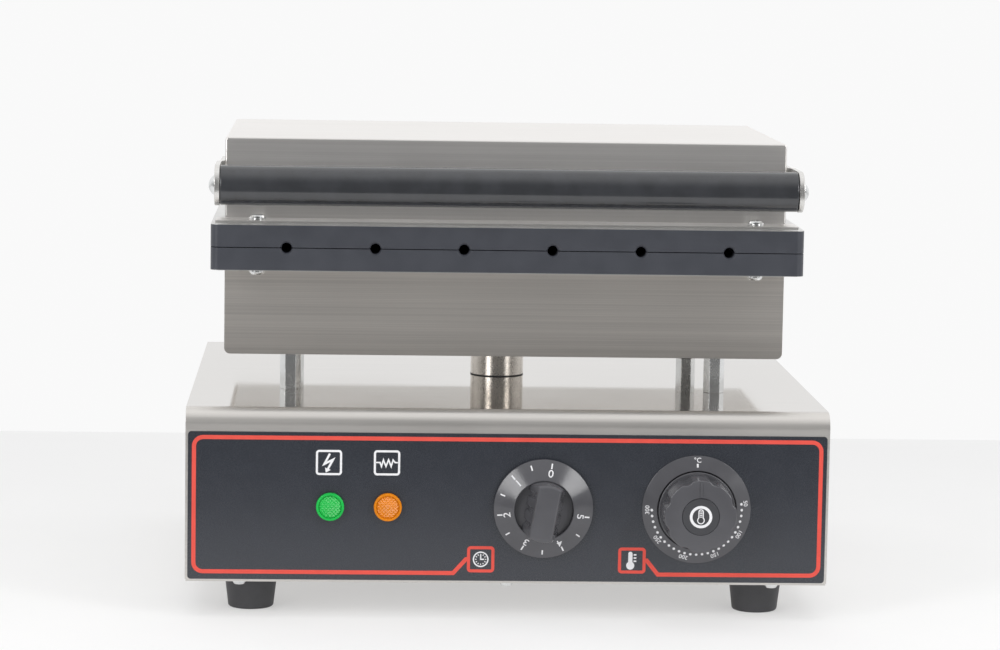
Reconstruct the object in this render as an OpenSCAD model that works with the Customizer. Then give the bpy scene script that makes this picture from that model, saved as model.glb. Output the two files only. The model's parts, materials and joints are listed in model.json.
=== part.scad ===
// Six-stick corn dog maker: a folded steel base with a control panel, four posts and a conduit tube
// that carry the lower mould plate, and a hinged lid with the upper mould plate and a bar handle.
// X runs left to right, Y front to back and Z up. The origin is on the table under the base centre.

/* [Base] */
// Width of the base across its front
base_w = 375; // [365:1:385]
// Depth of the base, front to back
base_d = 330; // [324:1:340]
// Height of the base body above its feet
base_h = 101.5; // [98:0.5:106]
// Thickness of all folded sheet
sheet_t = 1.2; // [1:0.1:1.4]
// Outside radius of the folds at the front and the rear
fold_r = 9.5; // [6:0.5:12]

/* [Feet and posts] */
// Height of the rubber feet
foot_h = 21.5; // [18:0.5:25]
// Diameter of a foot where it meets the base
foot_d = 31.5; // [29:0.5:34]
// Distance of a foot's middle from the side of the base
foot_inset_x = 37.5; // [33:0.5:42]
// Distance of a foot's middle from the front or the rear of the base
foot_inset_y = 38; // [35:0.5:42]
// Length of the hexagonal posts
post_h = 22.3; // [20:0.1:26]
// Width of a post across its flats
post_flats = 11; // [9:0.5:14]
// Diameter of the conduit tube
conduit_d = 33; // [32:0.5:36]

/* [Cooking head] */
// Width of the lower housing and of the lid
housing_w = 336.4; // [334:0.2:339]
// Depth of the lower housing and of the lid
housing_d = 197; // [195:0.5:200]
// Height of the lower housing
lower_h = 53.7; // [52:0.1:58]
// Height of the lid housing
lid_h = 49.1; // [48:0.1:54]
// Width of the mould plates
plate_w = 351; // [349:0.5:356]
// Depth of the mould plates
plate_d = 245; // [242:0.5:248]
// Thickness of a mould plate at its rim
plate_t = 13.35; // [13:0.05:14]

/* [Moulds] */
// Spacing of the six moulds
mould_pitch = 52.3; // [52:0.1:53]
// Diameter of a closed mould
mould_d = 36; // [34:0.5:36.5]
// Length of a mould
mould_l = 156; // [150:1:158]
// Diameter of a stick hole
stick_d = 6.2; // [6:0.1:6.6]

/* [Hinge and handle] */
// Diameter of the hinge pins
pin_d = 8; // [7:0.5:8.5]
// Largest opening angle of the lid
lid_open = 105; // [95:1:110]
// Diameter of the handle grip
grip_d = 23.3; // [21:0.1:25]
// Length of the handle grip
grip_l = 340; // [339:0.5:342]
// Distance of the grip's axis ahead of the lid
grip_reach = 38; // [34:0.5:42]

/* [Controls] */
// Height of the dark control overlay
overlay_h = 86.6; // [84:0.2:88]
// Place of the green lamp across the panel
lamp_x = -103.5; // [-115:0.5:-95]
// Spacing of the two lamps
lamp_pitch = 33.5; // [28:0.5:36]
// Diameter of a lamp lens
lamp_d = 16.3; // [15:0.1:18]
// Place of the timer across the panel
timer_x = 20.5; // [10:0.5:30]
// Diameter of the timer knob's skirt
timer_knob_d = 58; // [54:0.5:60]
// Place of the thermostat across the panel
thermostat_x = 110; // [100:0.5:120]
// Diameter of the thermostat's scale ring
bezel_d = 63.6; // [60:0.2:66]
// Diameter of the thermostat knob
thermostat_knob_d = 45; // [43:0.5:45.5]
// Height of the thermostat knob
thermostat_knob_h = 26.5; // [24:0.5:29]

/* [Hidden] */
$fn = 64;
cut = 1;

// Fits: gap of pieces that slide together, radial gap of a bearing, and what a hole adds to a loose
// screw or neck and to a threaded one
slip = 0.1;
running = 0.05;
loose = 0.4;
tight = 0.2;

// Screws, as the diameter of the shank and the diameter and height of the head
sheet_screw = [4, 8, 2.8];
control_screw = [4, 7, 2.2];
terminal_screw = [4, 7.5, 2.4];
foot_screw = [5, 9.5, 3.2];
plate_screw = [5, 9.5, 3];
arm_screw = [5, 10, 3];
end_screw = [5, 12, 3.6];

// Hexagons of nuts and bolt heads, as the width across the flats and the height
foot_nut = [8, 4];
post_head = [10, 4];
clamp_head = [7, 2.8];

// Heights of the stack, from the table up
bottom_z = foot_h;
shell_z = bottom_z + sheet_t;
base_top = bottom_z + base_h;
lower_z = base_top + post_h;
plate_z = lower_z + lower_h;
split_gap = 0.5;
split_z = plate_z + plate_t + split_gap / 2;
lid_z = split_z + split_gap / 2 + plate_t;
top_z = lid_z + lid_h;

// Base details
front_y = -base_d / 2;
rear_y = base_d / 2;
return_w = 16;
return_gap = 1;
tuck_w = 12;
bottom_inset = 0.5;
bottom_screw_inset = 31.5;
bottom_screw_x = base_w / 2 - bottom_screw_inset;
bottom_screw_y = (base_d - sheet_t - return_w) / 2;
bottom_screw_l = 6;
foot_span_x = base_w - 2 * foot_inset_x;
foot_span_y = base_d - 2 * foot_inset_y;
foot_taper = 6.5;
foot_tip_d = foot_d - foot_taper;
foot_tip_chamfer = 1.2;
foot_pocket = [12, 11];
vent = [5, 60];
vent_pitch = 14;
bottom_vents = 11;
rear_vents = 7;
rear_vent_x = 70;

// Cooking head details
head_y = 11.5;
housing_front = head_y - housing_d / 2;
housing_rear = head_y + housing_d / 2;
lower_corner_r = 3.5;
lid_corner_r = 1.6;
flange_side = 5;
flange_w = housing_w + 2 * flange_side;
front_flange = 22;
rear_flange = 11;
flange_screw_inset = 19.7;
flange_screw_x = housing_w / 2 - flange_screw_inset;
front_screw_reach = 15;
front_screw_y = housing_front - front_screw_reach;
rear_screw_y = housing_rear + rear_flange / 2;
plate_screw_bite = 7;
plate_hole_h = 9;
post_inset = [39.7, 13.5];
post_span = [housing_w - 2 * post_inset[0], housing_d - 2 * post_inset[1]];
post_bolt_d = 6;
post_bolt_bite = 9;
conduit_ahead = 5.5;
conduit_y = head_y - conduit_ahead;
conduit_shoulder = 2.5;
conduit_wall = 1.5;
conduit_neck_d = conduit_d - 2 * conduit_shoulder;
conduit_bore_d = conduit_neck_d - 2 * conduit_wall;
conduit_neck_h = 8;
conduit_nut = [conduit_d + 2 * conduit_shoulder, 5];

// Bushes of the element leads: flange, tapered nose, neck in the wall, barb behind it, and bore
lead_gland_x = 60;
lead_flange = [18, 3];
lead_nose = [14, 11, 8];
lead_neck_d = 12;
lead_barb = [15, 4];
lead_bore_d = 7;

// Insulation slabs, and what they leave free at the sides, front, rear and towards the element
insulation_side = 8;
insulation_front = 2;
insulation_rear = 20.6;
insulation_room = 19.5;
insulation_post_d = 17;
insulation_post_h = 6;
insulation_conduit = 6.5;
insulation_channel = 10;

// Mould plate details
mould_count = 6;
mould_wall = 3.6;
mould_r = mould_d / 2;
mould_front = head_y - mould_l / 2;
plate_corner_r = 5;
stick_mouth = 1.2;
element_d = 8;
element_bend_r = 15;
element_front_gap = 9;
element_rear_gap = 8.5;
element_end_gap = 14;
element_pin = [4, 8];
element_x = [mould_pitch, 2 * mould_pitch];
element_front = housing_front + element_front_gap;
element_cross = housing_rear - element_rear_gap;
element_end = housing_rear - element_end_gap;
element_depth = split_gap / 2 + plate_t + slip + element_d / 2;
bar_end = 12;
bar_w = 14;
bar_t = 3;
bar_span = 80;
bar_l = 2 * (element_x[1] + bar_end);
bar_depth = element_depth + element_d / 2;
bar_y = [head_y - bar_span / 2, head_y + bar_span / 2];
clamp_bolt_d = 4;
clamp_bolt_bite = 5;
clamp_bolt_side = 0.7;
clamp_bolt_x = element_x[1] - (element_d + clamp_bolt_d) / 2 - clamp_bolt_side;
bulb_l = 110;
bulb_y = [head_y - bulb_l / 2, head_y + bulb_l / 2];

// Hinge details
hinge_setback = 11.5;
hinge_y = plate_d / 2 + hinge_setback;
hinge_inset = 70.5;
hinge_x = plate_w / 2 - hinge_inset;
knuckle_d = 18;
lower_knuckle_w = 10;
upper_knuckle_w = 13;
knuckle_gap = 0.5;
knuckle_offset = (upper_knuckle_w + lower_knuckle_w) / 2 + knuckle_gap;
hinge_half_w = knuckle_offset + lower_knuckle_w / 2;
heel_gap = 0.3;
heel_lift = 0.5;
heel = [hinge_setback - heel_gap, 7.5];
pin_head = [13, 3];
pin_tail = 3.2;
pin_clip = [13, 1];
clip_groove_d = pin_d - 1.6;
clip_grip = 0.2;
clip_mouth = 0.8;

// Handle details
grip_y = housing_front - grip_reach;
grip_rise = 23.3;
grip_z = lid_z + grip_rise;
grip_chamfer = 0.8;
grip_bore_h = 20;
arm_t = 3;
arm_w = 24;
arm_bend = [2, 9];
arm_joggle = (grip_l - housing_w) / 2;
arm_screw_setback = 13;
arm_screw_pitch = 22;
arm_screw_tail = 6;
arm_screw_y = [housing_front + arm_screw_setback, housing_front + arm_screw_setback + arm_screw_pitch];
arm_rear = arm_screw_y[1];
end_screw_bite = 16;

// Panel details
overlay_t = 0.5;
overlay_side = 1.5;
overlay_lift = 0.3;
overlay_corner_r = 2;
overlay_w = base_w - 2 * overlay_side;
panel_y = front_y - overlay_t;
panel_t = overlay_t + sheet_t;
control_z = shell_z + overlay_lift + overlay_h / 2;

// Lamps: lens rim, bevel, sunk face and neck, then the body's collar, barrel and tabs
lamp_rim = [1.4, 3.2];
lamp_bevel = 0.6;
lamp_face = 0.7;
lamp_neck_d = 12;
lamp_neck_h = 4;
lamp_socket_h = 5;
lamp_collar = [18, 2];
lamp_barrel = [15, 26];
lamp_tab = [0.8, 4.8, 9];
lamp_tab_x = 4;

// Shafts, hubs and screws that the two controls share
knob_gap = 0.5;
shaft_d = 6;
shaft_bore_d = 7.5;
shaft_in = 16;
shaft_end = 1;
knob_bore_h = 13;
hub_r = 6;
hollow_h = 2.9;
control_screw_r = 14;
control_screw_l = 6;
control_hole_h = 8;

// Timer: case, cone of the skirt, well with the finger bar, and grip grooves in the bar's flanks
timer_case = [48, 46, 32];
timer_knob_h = 23;
timer_rim_h = 2.5;
timer_cone_h = 8.5;
timer_floor_h = 5;
timer_dial_r = 17;
timer_wall = 5;
timer_bar = [21.4, 13];
timer_groove = [1.4, 8];
timer_rest = -10;

// Thermostat: case, scale ring, knob with its foot flange and flutes, and cap
thermostat_case = [38, 34, 36];
bezel_gap = 0.6;
bezel_bore_d = thermostat_knob_d + 2 * bezel_gap;
bezel_h = 3.6;
bezel_rim_h = 1;
bezel_lip = 0.4;
knob_flange = [1, 4];
knob_taper = 1;
knob_wall = 3.5;
flute_count = 8;
flute_r = 5;
flute_depth = 1.6;
cap_d = 21.4;
cap_h = 1.4;
cap_sunk = 0.4;

// The mains gland stands out as far as the knobs do, which keeps the base centred
gland_reach = overlay_t + knob_gap + thermostat_knob_h;
mains_gland_place = [-110, 58];
mains_bore_d = 9;
gland_thread = [16, 9];
gland_nut = [21, 5];
gland_foot = [22, 5];
gland_collar = [18, 13];
gland_cap = [20, 12, 9];
gland_nose = [19, 14, 20];
terminal_place = [-60, 100];
terminal = [58, 22, 18];
terminal_screw_x = 23.2;
terminal_bore = [5, 14, 8.1];

// Route of the thermostat's capillary, from its bulb through the conduit to the thermostat
case_rear = front_y + sheet_t + thermostat_case[2];
capillary_d = 2;
capillary_sides = 8;
capillary_route = [
    [0, bulb_y[1] - 1, split_z - element_depth],
    [0, bulb_y[1] + 10, split_z - element_depth],
    [0, bulb_y[1] + 16, split_z - element_depth - 5],
    [0, bulb_y[1] + 15, split_z - element_depth - 17],
    [0, bulb_y[1] + 6, lower_z + 25],
    [0, conduit_y + 44, lower_z + 20],
    [0, conduit_y + 16, lower_z + 18],
    [0, conduit_y + 3, lower_z + 13],
    [0, conduit_y, lower_z + 4],
    [0, conduit_y, base_top - 8],
    [3, conduit_y - 4, base_top - 18],
    [14, conduit_y - 20, base_top - 25],
    [60, conduit_y - 68, base_top - 30],
    [thermostat_x - 12, case_rear + 30, base_top - 34],
    [thermostat_x - 2, case_rear + 18, control_z + 16],
    [thermostat_x, case_rear + 10, control_z + 10],
    [thermostat_x, case_rear + slip, control_z + 8],
];

// Flat shapes

// Rectangle with four round corners
module rounded_rect(w, d, r) {
    square([w - 2 * r, d], center = true);
    square([w, d - 2 * r], center = true);
    for (sx = [-1, 1], sy = [-1, 1])
        translate([sx * (w / 2 - r), sy * (d / 2 - r)])
            circle(r);
}

// Rectangle that stands on the X axis, with its two top corners round
module arch(w, h, r) {
    translate([-w / 2, 0])
        square([w, h - r]);
    translate([r - w / 2, 0])
        square([w - 2 * r, h]);
    for (s = [-1, 1])
        translate([s * (w / 2 - r), h - r])
            circle(r);
}

// Slot with round ends, lying along Y
module slot(w, l) {
    square([w, l - w], center = true);
    for (s = [-1, 1])
        translate([0, s * (l - w) / 2])
            circle(d = w);
}

// Row of vent slots, centred
module vent_row(count) {
    for (i = [0 : count - 1])
        translate([(i - (count - 1) / 2) * vent_pitch, 0])
            slot(vent[0], vent[1]);
}

// Solid helpers

// Block centred on X and Y, standing on Z = 0
module block(w, d, h) {
    translate([-w / 2, -d / 2, 0])
        cube([w, d, h]);
}

// Hexagonal prism given its width across the flats
module hexagon(flats, h) {
    cylinder(d = flats / cos(30), h = h, $fn = 6);
}

// Round bar along X, centred
module across(l, d) {
    rotate([0, 90, 0])
        cylinder(d = d, h = l, center = true);
}

// Round bar along Y, from the origin to the rear
module to_rear(l, d) {
    rotate([-90, 0, 0])
        cylinder(d = d, h = l);
}

// Sweeps a (Y, Z) outline along X
module sweep_x(l) {
    rotate([90, 0, 90])
        linear_extrude(l, center = true)
            children();
}

// Sweeps an (X, Z) outline along Y
module sweep_y(l) {
    rotate([90, 0, 0])
        linear_extrude(l, center = true)
            children();
}

// Shank of a screw or bolt, from inside its head at Z = 0 down
module shank(d, length, head_h) {
    translate([0, 0, -length])
        cylinder(d = d, h = length + head_h / 2);
}

// Screw with a low tapered head above Z = 0
module pan_screw(size, length) {
    half_h = size[2] / 2;
    cylinder(d = size[1], h = half_h);
    translate([0, 0, half_h])
        cylinder(d1 = size[1], d2 = (size[0] + size[1]) / 2, h = half_h);
    shank(size[0], length, half_h);
}

// Screw with a domed head above Z = 0
module dome_screw(size, length) {
    dome_r = (pow(size[1] / 2, 2) + pow(size[2], 2)) / (2 * size[2]);
    intersection() {
        translate([0, 0, size[2] - dome_r])
            sphere(dome_r);
        block(2 * size[1], 2 * size[1], size[2] + cut);
    }
    shank(size[0], length, size[2]);
}

// Bolt with a hexagonal head above Z = 0
module hex_bolt(shank_d, length, head) {
    hexagon(head[0], head[1]);
    shank(shank_d, length, head[1]);
}

module hex_nut(flats, h, hole_d) {
    difference() {
        hexagon(flats, h);
        translate([0, 0, -cut])
            cylinder(d = hole_d, h = h + 2 * cut);
    }
}

// Places

// Puts children on the front panel at x, with their Z pointing out of the panel and their Y up
module on_panel(x) {
    translate([x, panel_y, control_z])
        rotate([90, 0, 0])
            children();
}

// Puts children on a rear wall, with their Z pointing out of it
module on_rear(x, y, z) {
    translate([x, y, z])
        rotate([-90, 0, 0])
            children();
}

module at_feet() {
    for (sx = [-1, 1], sy = [-1, 1])
        translate([sx * foot_span_x / 2, sy * foot_span_y / 2, 0])
            children();
}

module at_posts() {
    for (sx = [-1, 1], sy = [-1, 1])
        translate([sx * post_span[0] / 2, head_y + sy * post_span[1] / 2, 0])
            children();
}

module at_bottom_screws() {
    for (sx = [-1, 0, 1], sy = [-1, 1])
        translate([sx * bottom_screw_x, sy * bottom_screw_y, 0])
            children();
}

module at_flange_screws() {
    for (s = [-1, 1], y = [front_screw_y, rear_screw_y])
        translate([s * flange_screw_x, y, 0])
            children();
}

module at_clamp_bolts() {
    for (s = [-1, 1], y = bar_y)
        translate([s * clamp_bolt_x, y, 0])
            children();
}

module at_terminal_screws() {
    for (s = [-1, 1])
        translate([terminal_place[0] + s * terminal_screw_x, terminal_place[1], 0])
            children();
}

module at_moulds() {
    for (i = [0 : mould_count - 1])
        translate([(i - (mould_count - 1) / 2) * mould_pitch, 0, 0])
            children();
}

// The screws of a control sit left and right of its shaft
module at_control_screws() {
    for (x = [timer_x, thermostat_x])
        on_panel(x)
            for (s = [-1, 1])
                translate([s * control_screw_r, 0, 0])
                    children();
}

// Base

// Outline of the folded sheet seen from the side, moved in by inset
module fold_outline(inset) {
    arch(base_d - 2 * inset, base_top - shell_z - inset, fold_r - inset);
}

module panel_holes(depth) {
    for (i = [0, 1])
        on_panel(lamp_x + i * lamp_pitch)
            translate([0, 0, -depth])
                cylinder(d = lamp_neck_d + loose, h = depth + cut);
    for (x = [timer_x, thermostat_x])
        on_panel(x)
            translate([0, 0, -depth])
                cylinder(d = shaft_bore_d, h = depth + cut);
    at_control_screws()
        translate([0, 0, -depth])
            cylinder(d = control_screw[0] + loose, h = depth + cut);
}

// The fold outline as a sheet that is open at the bottom
module fold_sheet(inset) {
    difference() {
        fold_outline(inset);
        translate([0, -cut])
            arch(
                base_d - 2 * (inset + sheet_t),
                base_top - shell_z - inset - sheet_t + cut,
                fold_r - inset - sheet_t
            );
    }
}

module base_shell() {
    color("Silver")
        difference() {
            union() {
                translate([0, 0, shell_z])
                    sweep_x(base_w)
                        fold_sheet(0);
                for (s = [-1, 1])
                    translate([0, s * (base_d - sheet_t - return_w) / 2, shell_z])
                        block(base_w - 2 * (tuck_w + return_gap), return_w, sheet_t);
            }
            panel_holes(panel_t + cut);
            at_posts()
                translate([0, 0, base_top - sheet_t - cut])
                    cylinder(d = post_bolt_d + loose, h = sheet_t + 2 * cut);
            translate([0, conduit_y, base_top - sheet_t - cut])
                cylinder(d = conduit_neck_d + loose, h = sheet_t + 2 * cut);
            at_bottom_screws()
                translate([0, 0, shell_z - cut])
                    cylinder(d = sheet_screw[0] + tight, h = sheet_t + 2 * cut);
            on_rear(mains_gland_place[0], rear_y - sheet_t - cut, mains_gland_place[1])
                cylinder(d = gland_thread[0] + loose, h = sheet_t + 2 * cut);
            translate([rear_vent_x, rear_y, control_z])
                sweep_y(4 * sheet_t)
                    vent_row(rear_vents);
        }
}

// Side panel, on the left for side = -1 and on the right for side = 1, with flanges tucked in the fold
module side_panel(side) {
    inset = sheet_t + slip;
    color("Silver")
        translate([0, 0, shell_z]) {
            translate([side * (base_w - sheet_t) / 2, 0, 0])
                sweep_x(sheet_t)
                    fold_outline(inset);
            translate([side * (base_w - tuck_w) / 2, 0, 0])
                sweep_x(tuck_w)
                    fold_sheet(inset);
        }
}

module bottom_plate() {
    color("Gainsboro")
        translate([0, 0, bottom_z])
            difference() {
                block(base_w - 2 * bottom_inset, base_d - 2 * bottom_inset, sheet_t);
                translate([0, 0, -cut]) {
                    at_feet()
                        cylinder(d = foot_screw[0] + loose, h = sheet_t + 2 * cut);
                    at_bottom_screws()
                        cylinder(d = sheet_screw[0] + loose, h = sheet_t + 2 * cut);
                    at_terminal_screws()
                        cylinder(d = terminal_screw[0] + loose, h = sheet_t + 2 * cut);
                    linear_extrude(sheet_t + 2 * cut)
                        vent_row(bottom_vents);
                }
            }
}

module bottom_screws() {
    color("WhiteSmoke")
        at_bottom_screws()
            translate([0, 0, bottom_z])
                rotate([180, 0, 0])
                    pan_screw(sheet_screw, bottom_screw_l);
}

module foot(side_x, side_y) {
    color("DimGray")
        translate([side_x * foot_span_x / 2, side_y * foot_span_y / 2, 0])
            difference() {
                union() {
                    cylinder(d1 = foot_tip_d - 2 * foot_tip_chamfer, d2 = foot_tip_d, h = foot_tip_chamfer);
                    translate([0, 0, foot_tip_chamfer])
                        cylinder(d1 = foot_tip_d, d2 = foot_d, h = foot_h - foot_tip_chamfer);
                }
                translate([0, 0, -cut])
                    cylinder(d = foot_pocket[0], h = foot_pocket[1] + cut);
                cylinder(d = foot_screw[0] + loose, h = foot_h + cut);
            }
}

module foot_screws() {
    length = shell_z + foot_nut[1] + sheet_t - foot_pocket[1];
    color("Silver")
        at_feet() {
            translate([0, 0, foot_pocket[1]])
                rotate([180, 0, 0])
                    pan_screw(foot_screw, length);
            translate([0, 0, shell_z])
                hex_nut(foot_nut[0], foot_nut[1], foot_screw[0] + tight);
        }
}

// Control panel

module control_overlay() {
    color("DarkSlateGray")
        difference() {
            translate([0, front_y - overlay_t / 2, control_z])
                sweep_y(overlay_t)
                    rounded_rect(overlay_w, overlay_h, overlay_corner_r);
            panel_holes(panel_t);
        }
}

module lamp_lens(i) {
    side_h = lamp_rim[1] - lamp_bevel;
    on_panel(lamp_x + i * lamp_pitch)
        difference() {
            union() {
                cylinder(d = lamp_d, h = side_h);
                translate([0, 0, side_h])
                    cylinder(d1 = lamp_d, d2 = lamp_d - 2 * lamp_bevel, h = lamp_bevel);
                translate([0, 0, -panel_t - lamp_neck_h])
                    cylinder(d = lamp_neck_d, h = panel_t + lamp_neck_h + side_h / 2);
            }
            translate([0, 0, lamp_rim[1] - lamp_face])
                cylinder(d = lamp_d - 2 * lamp_rim[0], h = lamp_face + cut);
        }
}

module green_lamp_lens() {
    color("LimeGreen")
        lamp_lens(0);
}

module amber_lamp_lens() {
    color("DarkOrange")
        lamp_lens(1);
}

module lamp_body(i) {
    color("Ivory")
        on_panel(lamp_x + i * lamp_pitch)
            translate([0, 0, -panel_t]) {
                difference() {
                    union() {
                        translate([0, 0, -lamp_collar[1]])
                            cylinder(d = lamp_collar[0], h = lamp_collar[1]);
                        translate([0, 0, -lamp_barrel[1]])
                            cylinder(d = lamp_barrel[0], h = lamp_barrel[1] - lamp_collar[1] / 2);
                    }
                    translate([0, 0, -lamp_socket_h])
                        cylinder(d = lamp_neck_d + loose, h = lamp_socket_h + cut);
                }
                for (s = [-1, 1])
                    translate([s * lamp_tab_x, 0, cut - lamp_barrel[1] - lamp_tab[2]])
                        block(lamp_tab[0], lamp_tab[1], lamp_tab[2]);
            }
}

module control_case(size) {
    difference() {
        translate([0, 0, -panel_t - size[2]])
            block(size[0], size[1], size[2]);
        translate([0, 0, -panel_t - shaft_in])
            cylinder(d = shaft_d + 2 * running, h = shaft_in + cut);
        for (s = [-1, 1])
            translate([s * control_screw_r, 0, -panel_t - control_hole_h])
                cylinder(d = control_screw[0] + tight, h = control_hole_h + cut);
    }
}

module timer_unit() {
    color("Gray")
        on_panel(timer_x)
            control_case(timer_case);
}

module thermostat_unit() {
    color("Gray")
        on_panel(thermostat_x)
            control_case(thermostat_case);
}

module control_screws() {
    color("Silver")
        at_control_screws()
            pan_screw(control_screw, panel_t + control_screw_l);
}

module thermostat_bezel_ring() {
    color("DimGray")
        on_panel(thermostat_x)
            difference() {
                union() {
                    cylinder(d = bezel_d, h = bezel_rim_h);
                    translate([0, 0, bezel_rim_h])
                        cylinder(d1 = bezel_d, d2 = bezel_bore_d + 2 * bezel_lip, h = bezel_h - bezel_rim_h);
                }
                translate([0, 0, -cut])
                    cylinder(d = bezel_bore_d, h = bezel_h + 2 * cut);
            }
}

// Hollow under a knob, round a hub that takes the shaft, which clears the screw heads
module knob_hollow(outer_r) {
    translate([0, 0, -cut]) {
        difference() {
            cylinder(r = outer_r, h = hollow_h + cut);
            cylinder(r = hub_r, h = hollow_h + cut);
        }
        cylinder(d = shaft_d, h = knob_bore_h + cut);
    }
}

// Cone of the timer knob with its well
module timer_skirt() {
    difference() {
        union() {
            cylinder(d = timer_knob_d, h = timer_rim_h);
            translate([0, 0, timer_rim_h])
                cylinder(d1 = timer_knob_d, d2 = 2 * timer_dial_r, h = timer_cone_h - timer_rim_h);
        }
        translate([0, 0, timer_floor_h])
            cylinder(r = timer_dial_r, h = timer_cone_h);
    }
}

// Finger bar across the well, narrower at its top, with grooves in both flanks
module timer_finger_bar() {
    rise = timer_knob_h - timer_floor_h;
    draft = atan2((timer_bar[0] - timer_bar[1]) / 2, rise);
    difference() {
        intersection() {
            cylinder(r = timer_dial_r, h = timer_knob_h);
            translate([0, 0, timer_floor_h - cut])
                sweep_y(2 * timer_dial_r)
                    polygon([
                        [-timer_bar[0] / 2, 0],
                        [timer_bar[0] / 2, 0],
                        [timer_bar[0] / 2, cut],
                        [timer_bar[1] / 2, rise + cut],
                        [-timer_bar[1] / 2, rise + cut],
                        [-timer_bar[0] / 2, cut],
                    ]);
        }
        for (s = [-1, 1], i = [-1 : 1])
            translate([s * (timer_bar[0] + timer_groove[0]) / 2, i * timer_groove[1], timer_floor_h])
                rotate([0, -s * draft, 0])
                    cylinder(r = timer_groove[0], h = 2 * rise);
    }
}

module timer_knob() {
    color("DimGray")
        on_panel(timer_x)
            translate([0, 0, knob_gap])
                rotate(timer_rest)
                    difference() {
                        union() {
                            timer_skirt();
                            timer_finger_bar();
                        }
                        knob_hollow(timer_knob_d / 2 - timer_wall);
                    }
}

// Shaft of a control, from inside its case to the blind end of the knob's bore
module control_shaft(x) {
    color("Gold")
        on_panel(x)
            translate([0, 0, shaft_end - panel_t - shaft_in])
                cylinder(d = shaft_d, h = panel_t + shaft_in - shaft_end + knob_bore_h);
}

module timer_shaft() {
    control_shaft(timer_x);
}

module thermostat_shaft() {
    control_shaft(thermostat_x);
}

module thermostat_knob() {
    body_r = thermostat_knob_d / 2 - knob_flange[0];
    color("DimGray")
        on_panel(thermostat_x)
            translate([0, 0, knob_gap])
                difference() {
                    union() {
                        cylinder(d = thermostat_knob_d, h = knob_flange[1]);
                        difference() {
                            cylinder(r1 = body_r, r2 = body_r - knob_taper, h = thermostat_knob_h);
                            for (i = [0 : flute_count - 1])
                                rotate((i + 0.5) * 360 / flute_count)
                                    translate([body_r + flute_r - flute_depth, 0, knob_flange[1]])
                                        cylinder(r = flute_r, h = thermostat_knob_h);
                        }
                    }
                    translate([0, 0, thermostat_knob_h - cap_h])
                        cylinder(d = cap_d, h = cap_h + cut);
                    knob_hollow(thermostat_knob_d / 2 - knob_wall);
                }
}

module thermostat_knob_cap() {
    color("SlateGray")
        on_panel(thermostat_x)
            translate([0, 0, knob_gap + thermostat_knob_h - cap_h])
                cylinder(d = cap_d - tight, h = cap_h - cap_sunk);
}

// Ring of points round one place of a route, square to the way the route runs there
function route_way(p, i) =
    let (a = p[max(i - 1, 0)], b = p[min(i + 1, len(p) - 1)]) (b - a) / norm(b - a);
function route_side(way) =
    let (s = cross(way, abs(way[0]) > 0.9 ? [0, 1, 0] : [1, 0, 0])) s / norm(s);
function route_ring(p, i, r, sides) =
    let (way = route_way(p, i), u = route_side(way), v = cross(way, u))
    [for (k = [0 : sides - 1]) p[i] + r * (cos(360 * k / sides) * u + sin(360 * k / sides) * v)];

// Round tube along a list of points
module tube_along(p, r, sides) {
    last = len(p) - 1;
    points = [for (i = [0 : last]) each route_ring(p, i, r, sides)];
    walls = [
        for (i = [0 : last - 1], k = [0 : sides - 1])
            let (a = i * sides, b = a + sides, n = (k + 1) % sides)
            [a + k, b + k, b + n, a + n]
    ];
    near = [for (k = [0 : sides - 1]) k];
    far = [for (k = [0 : sides - 1]) (last + 1) * sides - 1 - k];
    polyhedron(points, concat(walls, [near, far]));
}

module thermostat_bulb() {
    color("Peru") {
        translate([0, bulb_y[0], split_z - element_depth])
            to_rear(bulb_y[1] - bulb_y[0], element_d);
        tube_along(capillary_route, capillary_d / 2, capillary_sides);
    }
}

// Electrical pieces

module terminal_block() {
    color("Ivory")
        translate([0, 0, shell_z])
            difference() {
                translate([terminal_place[0], terminal_place[1], 0])
                    difference() {
                        block(terminal[0], terminal[1], terminal[2]);
                        for (i = [-1 : 1])
                            translate([i * terminal_bore[1], -terminal[1], terminal_bore[2]])
                                to_rear(2 * terminal[1], terminal_bore[0]);
                    }
                at_terminal_screws()
                    translate([0, 0, -cut])
                        cylinder(d = terminal_screw[0] + loose, h = terminal[2] + 2 * cut);
            }
}

module terminal_screws() {
    color("Silver")
        at_terminal_screws()
            translate([0, 0, shell_z + terminal[2]])
                pan_screw(terminal_screw, terminal[2] + sheet_t);
}

module mains_gland() {
    color("DimGray")
        on_rear(mains_gland_place[0], rear_y, mains_gland_place[1])
            difference() {
                union() {
                    translate([0, 0, -gland_thread[1]])
                        cylinder(d = gland_thread[0], h = gland_thread[1] + cut);
                    hexagon(gland_foot[0], gland_foot[1]);
                    cylinder(d = gland_collar[0], h = gland_collar[1]);
                    translate([0, 0, gland_cap[1]])
                        hexagon(gland_cap[0], gland_cap[2]);
                    translate([0, 0, gland_nose[2]])
                        cylinder(d1 = gland_nose[0], d2 = gland_nose[1], h = gland_reach - gland_nose[2]);
                }
                translate([0, 0, -gland_thread[1] - cut])
                    cylinder(d = mains_bore_d, h = gland_reach + gland_thread[1] + 2 * cut);
            }
}

module gland_locknut() {
    color("DimGray")
        on_rear(mains_gland_place[0], rear_y - sheet_t, mains_gland_place[1])
            translate([0, 0, -gland_nut[1]])
                hex_nut(gland_nut[0], gland_nut[1], gland_thread[0] + tight);
}

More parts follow.
